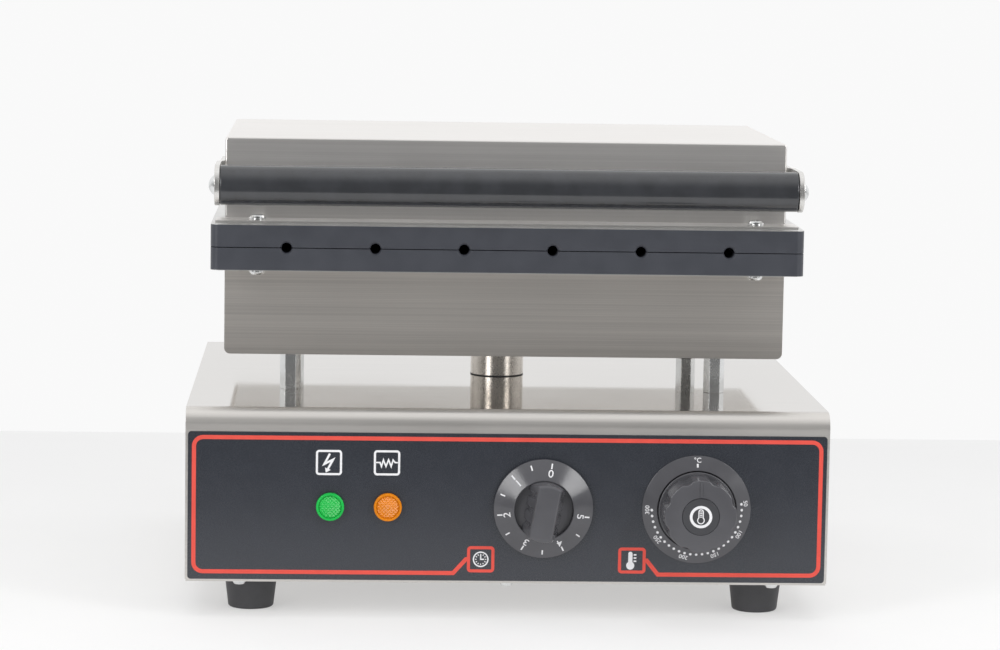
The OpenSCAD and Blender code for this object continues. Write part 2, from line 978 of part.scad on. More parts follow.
// Bush that guides the lead to a heating element through a rear wall
module lead_gland(z) {
    inner = -sheet_t - lead_barb[1];
    outer = lead_flange[1] + lead_nose[2];
    color("DimGray")
        on_rear(lead_gland_x, housing_rear, z)
            difference() {
                union() {
                    cylinder(d = lead_flange[0], h = lead_flange[1]);
                    translate([0, 0, lead_flange[1]])
                        cylinder(d1 = lead_nose[0], d2 = lead_nose[1], h = lead_nose[2]);
                    translate([0, 0, inner])
                        cylinder(d = lead_neck_d, h = lead_flange[1] - inner);
                    translate([0, 0, inner])
                        cylinder(d = lead_barb[0], h = lead_barb[1]);
                }
                translate([0, 0, inner - cut])
                    cylinder(d = lead_bore_d, h = outer - inner + 2 * cut);
            }
}

module lower_lead_gland() {
    lead_gland(lower_z + lower_h / 2);
}

module lid_lead_gland() {
    lead_gland(lid_z + lid_h / 2);
}

// Posts and conduit

module post(side_x, side_y) {
    color("LightGray")
        translate([side_x * post_span[0] / 2, head_y + side_y * post_span[1] / 2, base_top])
            hex_nut(post_flats, post_h, post_bolt_d + tight);
}

module post_bolts() {
    length = sheet_t + post_bolt_bite;
    color("Silver")
        at_posts() {
            translate([0, 0, lower_z + sheet_t])
                hex_bolt(post_bolt_d, length, post_head);
            translate([0, 0, base_top - sheet_t])
                rotate([180, 0, 0])
                    hex_bolt(post_bolt_d, length, post_head);
        }
}

module conduit_tube() {
    length = post_h + 2 * conduit_neck_h;
    color("LightGray")
        translate([0, conduit_y, base_top])
            difference() {
                union() {
                    cylinder(d = conduit_d, h = post_h);
                    translate([0, 0, -conduit_neck_h])
                        cylinder(d = conduit_neck_d, h = length);
                }
                translate([0, 0, -conduit_neck_h - cut])
                    cylinder(d = conduit_bore_d, h = length + 2 * cut);
            }
}

module conduit_nuts() {
    color("Silver")
        translate([0, conduit_y, 0])
            for (z = [base_top - sheet_t - conduit_nut[1], lower_z + sheet_t])
                translate([0, 0, z])
                    hex_nut(conduit_nut[0], conduit_nut[1], conduit_neck_d + tight);
}

// Cooking head

// Folded box, open at its bottom, with flanges at the front and the rear, standing on Z = 0
module flanged_box(h, r) {
    difference() {
        union() {
            translate([0, head_y, 0])
                sweep_y(housing_d)
                    arch(housing_w, h, r);
            translate([0, housing_front - front_flange / 2, 0])
                block(flange_w, front_flange + 2 * sheet_t, sheet_t);
            translate([0, housing_rear + rear_flange / 2, 0])
                block(flange_w, rear_flange + 2 * sheet_t, sheet_t);
        }
        translate([0, head_y, -cut])
            sweep_y(housing_d - 2 * sheet_t)
                arch(housing_w - 2 * sheet_t, h - sheet_t + cut, max(r - sheet_t, tight));
        at_flange_screws()
            translate([0, 0, -cut])
                cylinder(d = plate_screw[0] + loose, h = sheet_t + 2 * cut);
        translate([lead_gland_x, housing_rear - 2 * sheet_t, h / 2])
            to_rear(4 * sheet_t, lead_neck_d + loose);
    }
}

module lower_housing() {
    color("Silver")
        difference() {
            translate([0, 0, plate_z])
                mirror([0, 0, 1])
                    flanged_box(lower_h, lower_corner_r);
            translate([0, 0, lower_z - cut]) {
                at_posts()
                    cylinder(d = post_bolt_d + loose, h = sheet_t + 2 * cut);
                translate([0, conduit_y, 0])
                    cylinder(d = conduit_neck_d + loose, h = sheet_t + 2 * cut);
            }
        }
}

module lid_housing() {
    color("Silver")
        difference() {
            translate([0, 0, lid_z])
                flanged_box(lid_h, lid_corner_r);
            for (s = [-1, 1], y = arm_screw_y)
                translate([s * housing_w / 2, y, grip_z])
                    across(4 * sheet_t, arm_screw[0] + loose);
        }
}

// Round-ended bar along Y, the shape of a closed mould
module capsule(r, l) {
    rotate([-90, 0, 0])
        rotate_extrude()
            intersection() {
                union() {
                    translate([0, r])
                        circle(r);
                    translate([0, l - r])
                        circle(r);
                    translate([-r, r])
                        square([2 * r, l - 2 * r]);
                }
                square([r + cut, l]);
            }
}

// Lower mould plate about the split plane at Z = 0, without its hinge
module mould_plate() {
    face = -split_gap / 2;
    back = face - plate_t;
    mouth_h = stick_mouth + cut;
    difference() {
        union() {
            translate([0, 0, back])
                linear_extrude(plate_t)
                    rounded_rect(plate_w, plate_d, plate_corner_r);
            intersection() {
                at_moulds()
                    translate([0, mould_front - mould_wall, 0])
                        capsule(mould_r + mould_wall, mould_l + 2 * mould_wall);
                translate([0, 0, back - 2 * mould_d])
                    block(plate_w, plate_d, 2 * mould_d + plate_t / 2);
            }
        }
        at_moulds() {
            translate([0, mould_front, 0])
                capsule(mould_r, mould_l);
            translate([0, -plate_d / 2 - cut, 0])
                to_rear(mould_front + plate_d / 2 + mould_r, stick_d);
            translate([0, -plate_d / 2 - cut, 0])
                rotate([-90, 0, 0])
                    cylinder(d1 = stick_d + 2 * mouth_h, d2 = stick_d, h = mouth_h);
        }
        at_clamp_bolts()
            translate([0, 0, back - cut])
                cylinder(d = clamp_bolt_d + tight, h = clamp_bolt_bite + loose + cut);
        at_flange_screws()
            translate([0, 0, back - cut])
                cylinder(d = plate_screw[0] + tight, h = plate_hole_h + cut);
    }
}

// Hinge knuckle about the axis, with a web to the plate in front of it and below the split plane
module knuckle(x, w) {
    translate([x, 0, 0]) {
        across(w, knuckle_d);
        translate([0, -(hinge_setback + cut) / 2, -knuckle_d / 2])
            block(w, hinge_setback + cut, (knuckle_d - split_gap) / 2);
    }
}

// Heel on an upper knuckle that meets the rear of the lower plate when the lid is fully open
module stop_heel(x) {
    translate([x, 0, 0])
        sweep_x(upper_knuckle_w)
            rotate(lid_open - 180)
                translate([0, heel_lift])
                    square(heel);
}

module pin_bores() {
    for (s = [-1, 1])
        translate([s * hinge_x, 0, 0])
            across(4 * hinge_half_w, pin_d + 2 * running);
}

module lower_plate() {
    color("DarkSlateGray")
        difference() {
            union() {
                translate([0, 0, split_z])
                    mould_plate();
                translate([0, hinge_y, split_z])
                    for (s = [-1, 1], t = [-1, 1])
                        knuckle(s * hinge_x + t * knuckle_offset, lower_knuckle_w);
            }
            translate([0, hinge_y, split_z])
                pin_bores();
        }
}

module upper_plate() {
    color("DarkSlateGray")
        difference() {
            union() {
                translate([0, 0, split_z])
                    mirror([0, 0, 1])
                        mould_plate();
                translate([0, hinge_y, split_z])
                    for (s = [-1, 1]) {
                        mirror([0, 0, 1])
                            knuckle(s * hinge_x, upper_knuckle_w);
                        stop_heel(s * hinge_x);
                    }
            }
            translate([0, hinge_y, split_z])
                pin_bores();
        }
}

// Hinge pin with its head at the outer end and a clip groove at the inner end
module hinge_pin(side) {
    neck = slip + pin_head[1] / 2;
    color("Silver")
        translate([side * hinge_x, hinge_y, split_z])
            difference() {
                union() {
                    translate([side * (neck - pin_tail) / 2, 0, 0])
                        across(2 * hinge_half_w + pin_tail + neck, pin_d);
                    translate([side * (hinge_half_w + neck), 0, 0])
                        across(pin_head[1], pin_head[0]);
                }
                translate([-side * (hinge_half_w + slip + pin_clip[1] / 2), 0, 0])
                    difference() {
                        across(pin_clip[1] + slip, pin_d + cut);
                        across(pin_clip[1] + 2 * cut, clip_groove_d);
                    }
            }
}

module pin_clips() {
    color("DimGray")
        for (s = [-1, 1])
            translate([s * (hinge_x - hinge_half_w - slip - pin_clip[1] / 2), hinge_y, split_z])
                difference() {
                    across(pin_clip[1] - slip, pin_clip[0]);
                    across(pin_clip[1] + 2 * cut, clip_groove_d + clip_grip);
                    translate([0, 0, -pin_clip[0]])
                        block(pin_clip[1] + 2 * cut, clip_groove_d - clip_mouth, pin_clip[0]);
                }
}

module lower_plate_screws() {
    color("Silver")
        translate([0, 0, plate_z - sheet_t])
            mirror([0, 0, 1])
                at_flange_screws()
                    pan_screw(plate_screw, sheet_t + plate_screw_bite);
}

module upper_plate_screws() {
    color("Silver")
        translate([0, 0, lid_z + sheet_t])
            at_flange_screws()
                pan_screw(plate_screw, sheet_t + plate_screw_bite);
}

// Quarter bend of the heating tube about its centre, from the +X side to the +Y side
module tube_bend() {
    rotate_extrude(angle = 90)
        translate([element_bend_r, 0])
            circle(d = element_d);
}

// Straight heating tube between two places that share an X or a Y
module tube_run(from, to) {
    way = to - from;
    translate([from[0], from[1], 0])
        rotate(atan2(way[1], way[0]))
            rotate([0, 90, 0])
                cylinder(d = element_d, h = norm(way));
}

// Heating tube below a plate: four runs in the valleys between the moulds, terminals at the rear
module heating_tube() {
    r = element_bend_r;
    inner_x = element_x[0];
    outer_x = element_x[1];
    translate([0, 0, -element_depth]) {
        for (s = [-1, 1]) {
            tube_run([s * outer_x, element_front + r], [s * outer_x, element_end]);
            tube_run([s * inner_x, element_front + r], [s * inner_x, element_cross - r]);
            tube_run([s * (inner_x + r), element_front], [s * (outer_x - r), element_front]);
            translate([s * (outer_x - r), element_front + r, 0])
                rotate(s > 0 ? 270 : 180)
                    tube_bend();
            translate([s * (inner_x + r), element_front + r, 0])
                rotate(s > 0 ? 180 : 270)
                    tube_bend();
            translate([s * (inner_x - r), element_cross - r, 0])
                rotate(s > 0 ? 0 : 90)
                    tube_bend();
            translate([s * outer_x, element_end - cut, 0])
                to_rear(element_pin[1] + cut, element_pin[0]);
        }
        tube_run([r - inner_x, element_cross], [inner_x - r, element_cross]);
    }
}

module lower_element() {
    color("SlateGray")
        translate([0, 0, split_z])
            heating_tube();
}

module upper_element() {
    color("SlateGray")
        translate([0, 0, split_z])
            mirror([0, 0, 1])
                heating_tube();
}

module clamp_bars() {
    difference() {
        for (y = bar_y)
            translate([0, y, -bar_depth - bar_t])
                block(bar_l, bar_w, bar_t);
        at_clamp_bolts()
            translate([0, 0, -bar_depth - bar_t - cut])
                cylinder(d = clamp_bolt_d + loose, h = bar_t + 2 * cut);
    }
}

module lower_clamp_bars() {
    color("Silver")
        translate([0, 0, split_z])
            clamp_bars();
}

module upper_clamp_bars() {
    color("Silver")
        translate([0, 0, split_z])
            mirror([0, 0, 1])
                clamp_bars();
}

module clamp_bolts() {
    length = bar_depth + bar_t - split_gap / 2 - plate_t + clamp_bolt_bite;
    at_clamp_bolts()
        translate([0, 0, -bar_depth - bar_t])
            rotate([180, 0, 0])
                hex_bolt(clamp_bolt_d, length, clamp_head);
}

module lower_clamp_bolts() {
    color("Silver")
        translate([0, 0, split_z])
            clamp_bolts();
}

module upper_clamp_bolts() {
    color("Silver")
        translate([0, 0, split_z])
            mirror([0, 0, 1])
                clamp_bolts();
}

module insulation_slab(h) {
    front = housing_front + sheet_t + insulation_front;
    rear = housing_rear - sheet_t - insulation_rear;
    translate([0, (front + rear) / 2, 0])
        block(housing_w - 2 * (sheet_t + insulation_side), rear - front, h);
}

module lower_insulation() {
    slab_h = lower_h - sheet_t - insulation_room;
    color("Beige")
        translate([0, 0, lower_z + sheet_t])
            difference() {
                insulation_slab(slab_h);
                translate([0, 0, -cut]) {
                    at_posts()
                        cylinder(d = insulation_post_d, h = insulation_post_h + cut);
                    translate([0, conduit_y, 0])
                        cylinder(d = conduit_d + 2 * insulation_conduit, h = slab_h + 2 * cut);
                    translate([0, conduit_y + housing_d / 2, 0])
                        block(insulation_channel, housing_d, slab_h + 2 * cut);
                }
            }
}

module upper_insulation() {
    slab_h = lid_h - sheet_t - insulation_room;
    color("Beige")
        translate([0, 0, top_z - sheet_t - slab_h])
            insulation_slab(slab_h);
}

// Handle

// Strap along one side of the lid, set outward ahead of the lid to meet the end of the grip
module handle_arm(side) {
    inner = housing_w / 2;
    outer = inner + arm_joggle;
    depth = 2 * (abs(arm_joggle) + arm_t + cut);
    bend = [housing_front - arm_bend[0], housing_front - arm_bend[1]];
    tip = grip_y - arm_w / 2;
    tail = arm_rear + arm_w / 2;
    color("Silver")
        difference() {
            intersection() {
                translate([0, 0, grip_z - arm_w / 2])
                    linear_extrude(arm_w)
                        polygon([
                            [side * inner, tail],
                            [side * inner, bend[0]],
                            [side * outer, bend[1]],
                            [side * outer, tip],
                            [side * (outer + arm_t), tip],
                            [side * (outer + arm_t), bend[1]],
                            [side * (inner + arm_t), bend[0]],
                            [side * (inner + arm_t), tail],
                        ]);
                translate([side * inner, (grip_y + arm_rear) / 2, grip_z])
                    sweep_x(depth)
                        rotate(90)
                            slot(arm_w, arm_rear - grip_y + arm_w);
            }
            translate([side * outer, grip_y, grip_z])
                across(depth, end_screw[0] + loose);
            for (y = arm_screw_y)
                translate([side * inner, y, grip_z])
                    across(depth, arm_screw[0] + loose);
        }
}

module handle_grip() {
    color("DimGray")
        translate([0, grip_y, grip_z])
            difference() {
                union() {
                    across(grip_l - 2 * grip_chamfer, grip_d);
                    for (s = [-1, 1])
                        translate([s * (grip_l / 2 - grip_chamfer), 0, 0])
                            rotate([0, s * 90, 0])
                                cylinder(d1 = grip_d, d2 = grip_d - 2 * grip_chamfer, h = grip_chamfer);
                }
                for (s = [-1, 1])
                    translate([s * grip_l / 2, 0, 0])
                        across(2 * grip_bore_h, end_screw[0] + tight);
            }
}

module handle_end_screws() {
    color("WhiteSmoke")
        for (s = [-1, 1])
            translate([s * (grip_l / 2 + arm_t), grip_y, grip_z])
                rotate([0, s * 90, 0])
                    dome_screw(end_screw, arm_t + end_screw_bite);
}

module arm_screws() {
    color("WhiteSmoke")
        for (s = [-1, 1], y = arm_screw_y)
            translate([s * (housing_w / 2 + arm_t), y, grip_z])
                rotate([0, s * 90, 0])
                    dome_screw(arm_screw, arm_t + sheet_t + arm_screw_tail);
}

base_shell();
side_panel(-1);  // left_side_panel
side_panel(1);  // right_side_panel
bottom_plate();
bottom_screws();
foot(-1, -1);  // foot_front_left
foot(1, -1);  // foot_front_right
foot(-1, 1);  // foot_rear_left
foot(1, 1);  // foot_rear_right
foot_screws();
control_overlay();
green_lamp_lens();
amber_lamp_lens();
lamp_body(0);  // green_lamp_body
lamp_body(1);  // amber_lamp_body
timer_unit();
thermostat_unit();
control_screws();
thermostat_bezel_ring();
thermostat_bulb();
terminal_block();
terminal_screws();
mains_gland();
gland_locknut();
post(-1, -1);  // post_front_left
post(1, -1);  // post_front_right
post(-1, 1);  // post_rear_left
post(1, 1);  // post_rear_right
post_bolts();
conduit_tube();
conduit_nuts();
lower_housing();
lower_plate();
lower_plate_screws();
lower_element();
lower_clamp_bars();
lower_clamp_bolts();
lower_insulation();
lower_lead_gland();
hinge_pin(-1);  // hinge_pin_left
hinge_pin(1);  // hinge_pin_right
pin_clips();
lid_housing();
upper_plate();
upper_plate_screws();
upper_element();
upper_clamp_bars();
upper_clamp_bolts();
upper_insulation();
handle_arm(-1);  // handle_arm_left
handle_arm(1);  // handle_arm_right
handle_grip();
handle_end_screws();
arm_screws();
lid_lead_gland();
timer_knob();
timer_shaft();
thermostat_knob();
thermostat_knob_cap();
thermostat_shaft();
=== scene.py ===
"""Looks of a six-stick corn dog maker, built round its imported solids.

Lengths are in metres in the frame of the solids: X to the right, Y to the rear and Z up.
Each sub-assembly is a class that builds its meshes and dresses them with a finish.
"""

from __future__ import annotations

import json
import logging
import math
from dataclasses import dataclass, field
from enum import Enum
from typing import Iterable, Sequence

import bmesh
import bpy
from bmesh.types import BMesh
from mathutils import Matrix, Vector

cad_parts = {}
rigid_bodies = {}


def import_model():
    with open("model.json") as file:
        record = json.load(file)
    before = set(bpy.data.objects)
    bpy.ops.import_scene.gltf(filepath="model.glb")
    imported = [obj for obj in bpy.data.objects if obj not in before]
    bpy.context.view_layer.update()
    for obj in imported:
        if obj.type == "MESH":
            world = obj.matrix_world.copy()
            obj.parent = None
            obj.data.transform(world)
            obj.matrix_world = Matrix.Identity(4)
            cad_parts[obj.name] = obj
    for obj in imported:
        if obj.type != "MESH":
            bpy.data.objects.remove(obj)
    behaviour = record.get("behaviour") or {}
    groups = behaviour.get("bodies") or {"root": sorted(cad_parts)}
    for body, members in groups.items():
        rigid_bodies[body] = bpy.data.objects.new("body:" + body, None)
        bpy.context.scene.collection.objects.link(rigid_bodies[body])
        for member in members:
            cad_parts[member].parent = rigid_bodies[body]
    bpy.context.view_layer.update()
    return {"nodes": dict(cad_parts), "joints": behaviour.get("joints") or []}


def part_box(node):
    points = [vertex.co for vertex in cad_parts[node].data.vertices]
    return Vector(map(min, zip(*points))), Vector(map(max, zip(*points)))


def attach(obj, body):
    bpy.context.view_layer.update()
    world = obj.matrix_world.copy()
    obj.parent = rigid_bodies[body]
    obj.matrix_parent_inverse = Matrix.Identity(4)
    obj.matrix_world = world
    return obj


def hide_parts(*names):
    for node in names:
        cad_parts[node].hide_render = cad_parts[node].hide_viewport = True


LOG = logging.getLogger("corn_dog_maker")
MM = 0.001
MERGE = 1e-6
IN_PLANE = 10 * MERGE
SHARP_ANGLE = math.radians(32)
FLAT_ANGLE = math.radians(0.5)
FULL_TURN = 2 * math.pi
FOLD_STEPS = 4
CORNERS = ("front_left", "front_right", "rear_left", "rear_right")
SIDES = ("left", "right")

# Noise: where most of its values lie, and the octaves of a plain one and of a rich one
NOISE_RANGE = (0.3, 0.7)
PLAIN_DETAIL = 2.0
RICH_DETAIL = 3.0

# Prints: sharpest mitre, height of a figure as a share of its font's size, and how deep the ink is sunk
MITRE_LIMIT = 0.3
FIGURE_SHARE = 0.7
INK_SUNK = 0.02 * MM

# Hollow under both knobs
HOLLOW_H = 2.9 * MM

Rgb = tuple[float, float, float]
Spot = tuple[float, float, float]
Point = tuple[float, float]
Box = tuple[Point, Point]
Socket = bpy.types.NodeSocket
Number = float | Socket
Layer = bmesh.types.BMLayerItem


class Body(Enum):
    """Bodies that pieces ride on."""

    BASE = "base"
    LID = "lid"
    TIMER = "timer_dial"
    THERMOSTAT = "thermostat_dial"


class Slot(Enum):
    """Material slots of the record."""

    SHEET = "sheet_steel"
    POLISHED = "polished_steel"
    PLATED = "plated_steel"
    SPRING = "spring_steel"
    CASTING = "coated_casting"
    SHEATH = "element_sheath"
    COPPER = "copper_tube"
    FIBRE = "mineral_fibre"
    RUBBER = "rubber_black"
    FILM = "overlay_film"
    GREEN = "green_lens"
    AMBER = "amber_lens"
    WHITE = "white_plastic"
    CASE = "control_case"
    KNOB = "knob_plastic"
    BRASS = "shaft_brass"
    GLAND = "gland_plastic"
    CERAMIC = "terminal_ceramic"
    GRIP = "grip_plastic"


class NodeBoard:
    """A node tree with short ways to add to it."""

    def __init__(self, tree: bpy.types.NodeTree) -> None:
        """Keeps the tree that nodes are added to."""
        self.tree = tree

    def node(self, kind: str, inputs: dict) -> bpy.types.Node:
        """Adds a node and fills its inputs.

        Args:
            kind: Blender's name of the node type.
            inputs: Input name or number to a constant or to the socket that feeds it.

        Returns:
            The new node.
        """
        node = self.tree.nodes.new(kind)
        for key, value in inputs.items():
            if isinstance(value, Socket):
                self.tree.links.new(value, node.inputs[key])
            else:
                node.inputs[key].default_value = value
        return node

    def sum_up(self, operation: str, first: Number, second: Number = 0.0) -> Socket:
        """Works out one step of arithmetic.

        Args:
            operation: Blender's name of the step.
            first: First value or socket.
            second: Second value or socket.

        Returns:
            The result.
        """
        node = self.node("ShaderNodeMath", {0: first, 1: second})
        node.operation = operation
        return node.outputs[0]

    def span(self, value: Socket, source: Point, target: Point) -> Socket:
        """Maps one range to another along a soft step.

        Args:
            value: Value to map.
            source: Start and end of the values.
            target: Results at the start and at the end.

        Returns:
            The mapped value, kept within the target.
        """
        limits = {"From Min": source[0], "From Max": source[1], "To Min": target[0], "To Max": target[1]}
        node = self.node("ShaderNodeMapRange", {"Value": value, **limits})
        node.interpolation_type = "SMOOTHSTEP"
        return node.outputs["Result"]

    def mix(self, factor: Socket, first: Number, second: Number) -> Socket:
        """Takes the first value where the factor is 0 and the second where it is 1."""
        return self.node("ShaderNodeMix", {0: factor, 2: first, 3: second}).outputs[0]

    def axes(self, vector: Socket) -> list[Socket]:
        """Splits a vector into X, Y and Z."""
        return list(self.node("ShaderNodeSeparateXYZ", {"Vector": vector}).outputs)


class Graph(NodeBoard):
    """Node tree of one material, whose patterns lie in Object coordinates."""

    def __init__(self, name: str) -> None:
        """Starts a material with a Principled shader.

        Args:
            name: Name of the material.
        """
        self.material = bpy.data.materials.new(name)
        self.material.use_nodes = True
        super().__init__(self.material.node_tree)
        self.shader = self.tree.nodes["Principled BSDF"]
        self.coords = self.tree.nodes.new("ShaderNodeTexCoord")

    def constants(self, values: dict) -> None:
        """Sets inputs of the shader that are the same all over."""
        for key, value in values.items():
            self.shader.inputs[key].default_value = value

    def feed(self, key: str, source: Socket) -> None:
        """Links a pattern to an input of the shader."""
        self.tree.links.new(source, self.shader.inputs[key])

    def noise(self, scale: Sequence[float], detail: float) -> Socket:
        """Makes a noise whose grain differs along X, Y and Z.

        Args:
            scale: Grains per metre along X, Y and Z.
            detail: Octaves of finer noise.

        Returns:
            The noise value.
        """
        place_at = self.node("ShaderNodeMapping", {"Scale": scale, "Vector": self.coords.outputs["Object"]})
        grain = {"Scale": 1.0, "Detail": detail, "Vector": place_at.outputs["Vector"]}
        return self.node("ShaderNodeTexNoise", grain).outputs["Fac"]

    def speckle(self, per_metre: float, detail: float = RICH_DETAIL) -> Socket:
        """Makes a noise whose grain is the same in every direction."""
        return self.noise((per_metre,) * 3, detail)

    def between(self, value: Socket, low: float, high: float) -> Socket:
        """Spreads a noise between two values."""
        return self.span(value, NOISE_RANGE, (low, high))

    def blend(self, factor: Socket, first: Rgb | Socket, second: Rgb | Socket) -> Socket:
        """Mixes two colours.

        Args:
            factor: 0 for the first colour and 1 for the second.
            first: Linear colour or the socket that gives it.
            second: Linear colour or the socket that gives it.

        Returns:
            The mixed colour.
        """
        pair = [tone if isinstance(tone, Socket) else (*tone, 1.0) for tone in (first, second)]
        mix = self.node("ShaderNodeMix", {0: factor, 6: pair[0], 7: pair[1]})
        mix.data_type = "RGBA"
        return mix.outputs[2]

    def normal(self) -> list[Socket]:
        """Gives the X, Y and Z of the surface's own normal."""
        return self.axes(self.coords.outputs["Normal"])

    def across_brush(self, level: Socket) -> Socket:
        """Gives the way across brush lines that lie level.

        Args:
            level: 1 where the surface is level, 0 where it is upright.

        Returns:
            The way along Y on level faces and along Z on upright ones, in the world.
        """
        way = self.node("ShaderNodeCombineXYZ", {"Y": level, "Z": self.sum_up("SUBTRACT", 1.0, level)})
        turned = self.node("ShaderNodeVectorTransform", {"Vector": way.outputs[0]})
        turned.vector_type, turned.convert_from, turned.convert_to = "VECTOR", "OBJECT", "WORLD"
        return turned.outputs[0]

    def bump(self, height: Socket, depth: float) -> None:
        """Gives the surface a relief.

        Args:
            height: Pattern of the relief.
            depth: Height of the relief in metres.
        """
        relief = self.node("ShaderNodeBump", {"Distance": depth, "Height": height})
        self.feed("Normal", relief.outputs["Normal"])


@dataclass(frozen=True)
class Finish:
    """A surface finish with its slot in the record."""

    name: str
    slot: Slot
    colour: Rgb
    roughness: float

    def material(self) -> bpy.types.Material:
        """Returns the material, made at its first use."""
        return bpy.data.materials.get(self.name) or self.build().material

    def build(self) -> Graph:
        """Makes the node tree."""
        raise NotImplementedError

    def shades(self, spread: float) -> tuple[Rgb, Rgb]:
        """Gives a darker and a lighter tone of the colour.

        Args:
            spread: Share by which the tones differ from the colour.

        Returns:
            The darker and the lighter colour.
        """
        red, green, blue = self.colour
        low, high = 1 - spread, 1 + spread
        return (red * low, green * low, blue * low), (red * high, green * high, blue * high)

    def cloud_colour(self, graph: Graph, pattern: Socket, spread: float) -> None:
        """Lets the colour drift from its darker to its lighter tone with a noise."""
        graph.feed("Base Color", graph.blend(graph.between(pattern, 0, 1), *self.shades(spread)))

    def swing(self, graph: Graph, pattern: Socket, change: Point) -> Socket:
        """Lets the roughness swing with a noise between its least and its greatest change."""
        return graph.between(pattern, self.roughness + change[0], self.roughness + change[1])


@dataclass(frozen=True)
class BrushedSheet(Finish):
    """Sheet steel with brush lines along its length, broad streaks and faint hand marks."""

    fold_roughness: float = 0.0
    smear: float = 0.75
    sheen: float = 0.9
    line: float = 0.6 * MM
    streak: float = 2.5 * MM
    reach: float = 0.35
    relief: float = 0.004 * MM
    contrast: float = 0.05
    edge: float = 1.0
    line_share: float = 0.5
    level_from: float = 0.99
    marks_per_metre: float = 11.0
    wear: Point = (-0.02, 0.02)

    def build(self) -> Graph:
        """Makes brush lines along X, or along Y on the sides, duller where the sheet isn't level.

        Returns:
            The node tree of the material.
        """
        graph = Graph(self.name)
        graph.constants({"Metallic": self.sheen, "Anisotropic": self.smear})
        graph.constants({"Specular Tint": (self.edge, self.edge, self.edge, 1.0)})
        across, _, upright = graph.normal()
        side, level = graph.sum_up("ABSOLUTE", across), graph.sum_up("ABSOLUTE", upright)
        lines = self.drawn_noise(graph, side, self.line, PLAIN_DETAIL)
        streaks = self.drawn_noise(graph, side, self.streak, RICH_DETAIL)
        marks = graph.speckle(self.marks_per_metre)
        shares = graph.between(lines, 0, self.line_share), graph.between(streaks, 0, 1 - self.line_share)
        graph.feed("Base Color", graph.blend(graph.sum_up("ADD", *shares), *self.shades(self.contrast)))
        folded = graph.span(level, (self.level_from, 1.0), (self.fold_roughness, 0))
        worn = graph.sum_up("ADD", self.swing(graph, streaks, self.wear), graph.between(marks, *self.wear))
        graph.feed("Roughness", graph.sum_up("ADD", worn, folded))
        graph.feed("Tangent", graph.across_brush(level))
        graph.bump(lines, self.relief)
        return graph

    def drawn_noise(self, graph: Graph, side: Socket, width: float, detail: float) -> Socket:
        """Makes a noise that is drawn out along the brush lines.

        Args:
            graph: Node tree of the finish.
            side: 1 on the left and right sides, where the lines lie along Y.
            width: Width of one line.
            detail: Octaves of finer noise.

        Returns:
            The noise value.
        """
        fine, far = 1 / width, 1 / self.reach
        along_x, along_y = graph.noise((far, fine, fine), detail), graph.noise((fine, far, fine), detail)
        return graph.mix(side, along_x, along_y)


@dataclass(frozen=True)
class PlatedMetal(Finish):
    """Bright metal with fine pits and dull patches."""

    grain: float = 0.6 * MM
    relief: float = 0.002 * MM
    spread: float = 0.07
    patches_per_metre: float = 70.0
    pit_wear: Point = (-0.04, 0.05)
    patch_wear: Point = (-0.03, 0.04)

    def build(self) -> Graph:
        """Makes a metal whose tone and gloss vary with a fine and a broad noise.

        Returns:
            The node tree of the material.
        """
        graph = Graph(self.name)
        graph.constants({"Metallic": 1.0})
        pits = graph.speckle(1 / self.grain)
        patches = graph.speckle(self.patches_per_metre, PLAIN_DETAIL)
        self.cloud_colour(graph, patches, self.spread)
        gloss = self.swing(graph, pits, self.pit_wear)
        graph.feed("Roughness", graph.sum_up("ADD", gloss, graph.between(patches, *self.patch_wear)))
        graph.bump(pits, self.relief)
        return graph


@dataclass(frozen=True)
class GrainedSurface(Finish):
    """Plastic, rubber, film or coated casting with a fine grain and faint clouds."""

    grain: float = 0.5 * MM
    relief: float = 0.012 * MM
    spread: float = 0.08
    cloud: float = 12 * MM
    specular: float = 0.5
    glow: float = 0.0
    dulling: float = 0.03
    grain_wear: Point = (-0.05, 0.06)

    def build(self) -> Graph:
        """Makes a grain in relief with clouded tone and gloss.

        Returns:
            The node tree of the material.
        """
        graph = Graph(self.name)
        graph.constants({"Specular IOR Level": self.specular, "Emission Strength": self.glow})
        graph.constants({"Emission Color": (*self.colour, 1.0)})
        grain, clouds = graph.speckle(1 / self.grain), graph.speckle(1 / self.cloud)
        self.cloud_colour(graph, clouds, self.spread)
        gloss = self.swing(graph, grain, self.grain_wear)
        haze = graph.between(clouds, -self.dulling, self.dulling)
        graph.feed("Roughness", graph.sum_up("ADD", gloss, haze))
        graph.bump(grain, self.relief)
        return graph


@dataclass(frozen=True)
class KnobPlastic(GrainedSurface):
    """Smooth moulded plastic of the knobs."""

    grain: float = 0.3 * MM
    relief: float = 0.004 * MM
    spread: float = 0.04


@dataclass(frozen=True)
class LensPlastic(GrainedSurface):
    """Coloured plastic of the lamps, with a faint glow."""

    grain: float = 2 * MM
    relief: float = 0.004 * MM
    specular: float = 0.25
    glow: float = 0.06


@dataclass(frozen=True)
class PrintInk(GrainedSurface):
    """Dull printing ink."""

    roughness: float = 0.45
    grain: float = 0.3 * MM
    relief: float = 0.003 * MM
    spread: float = 0.03


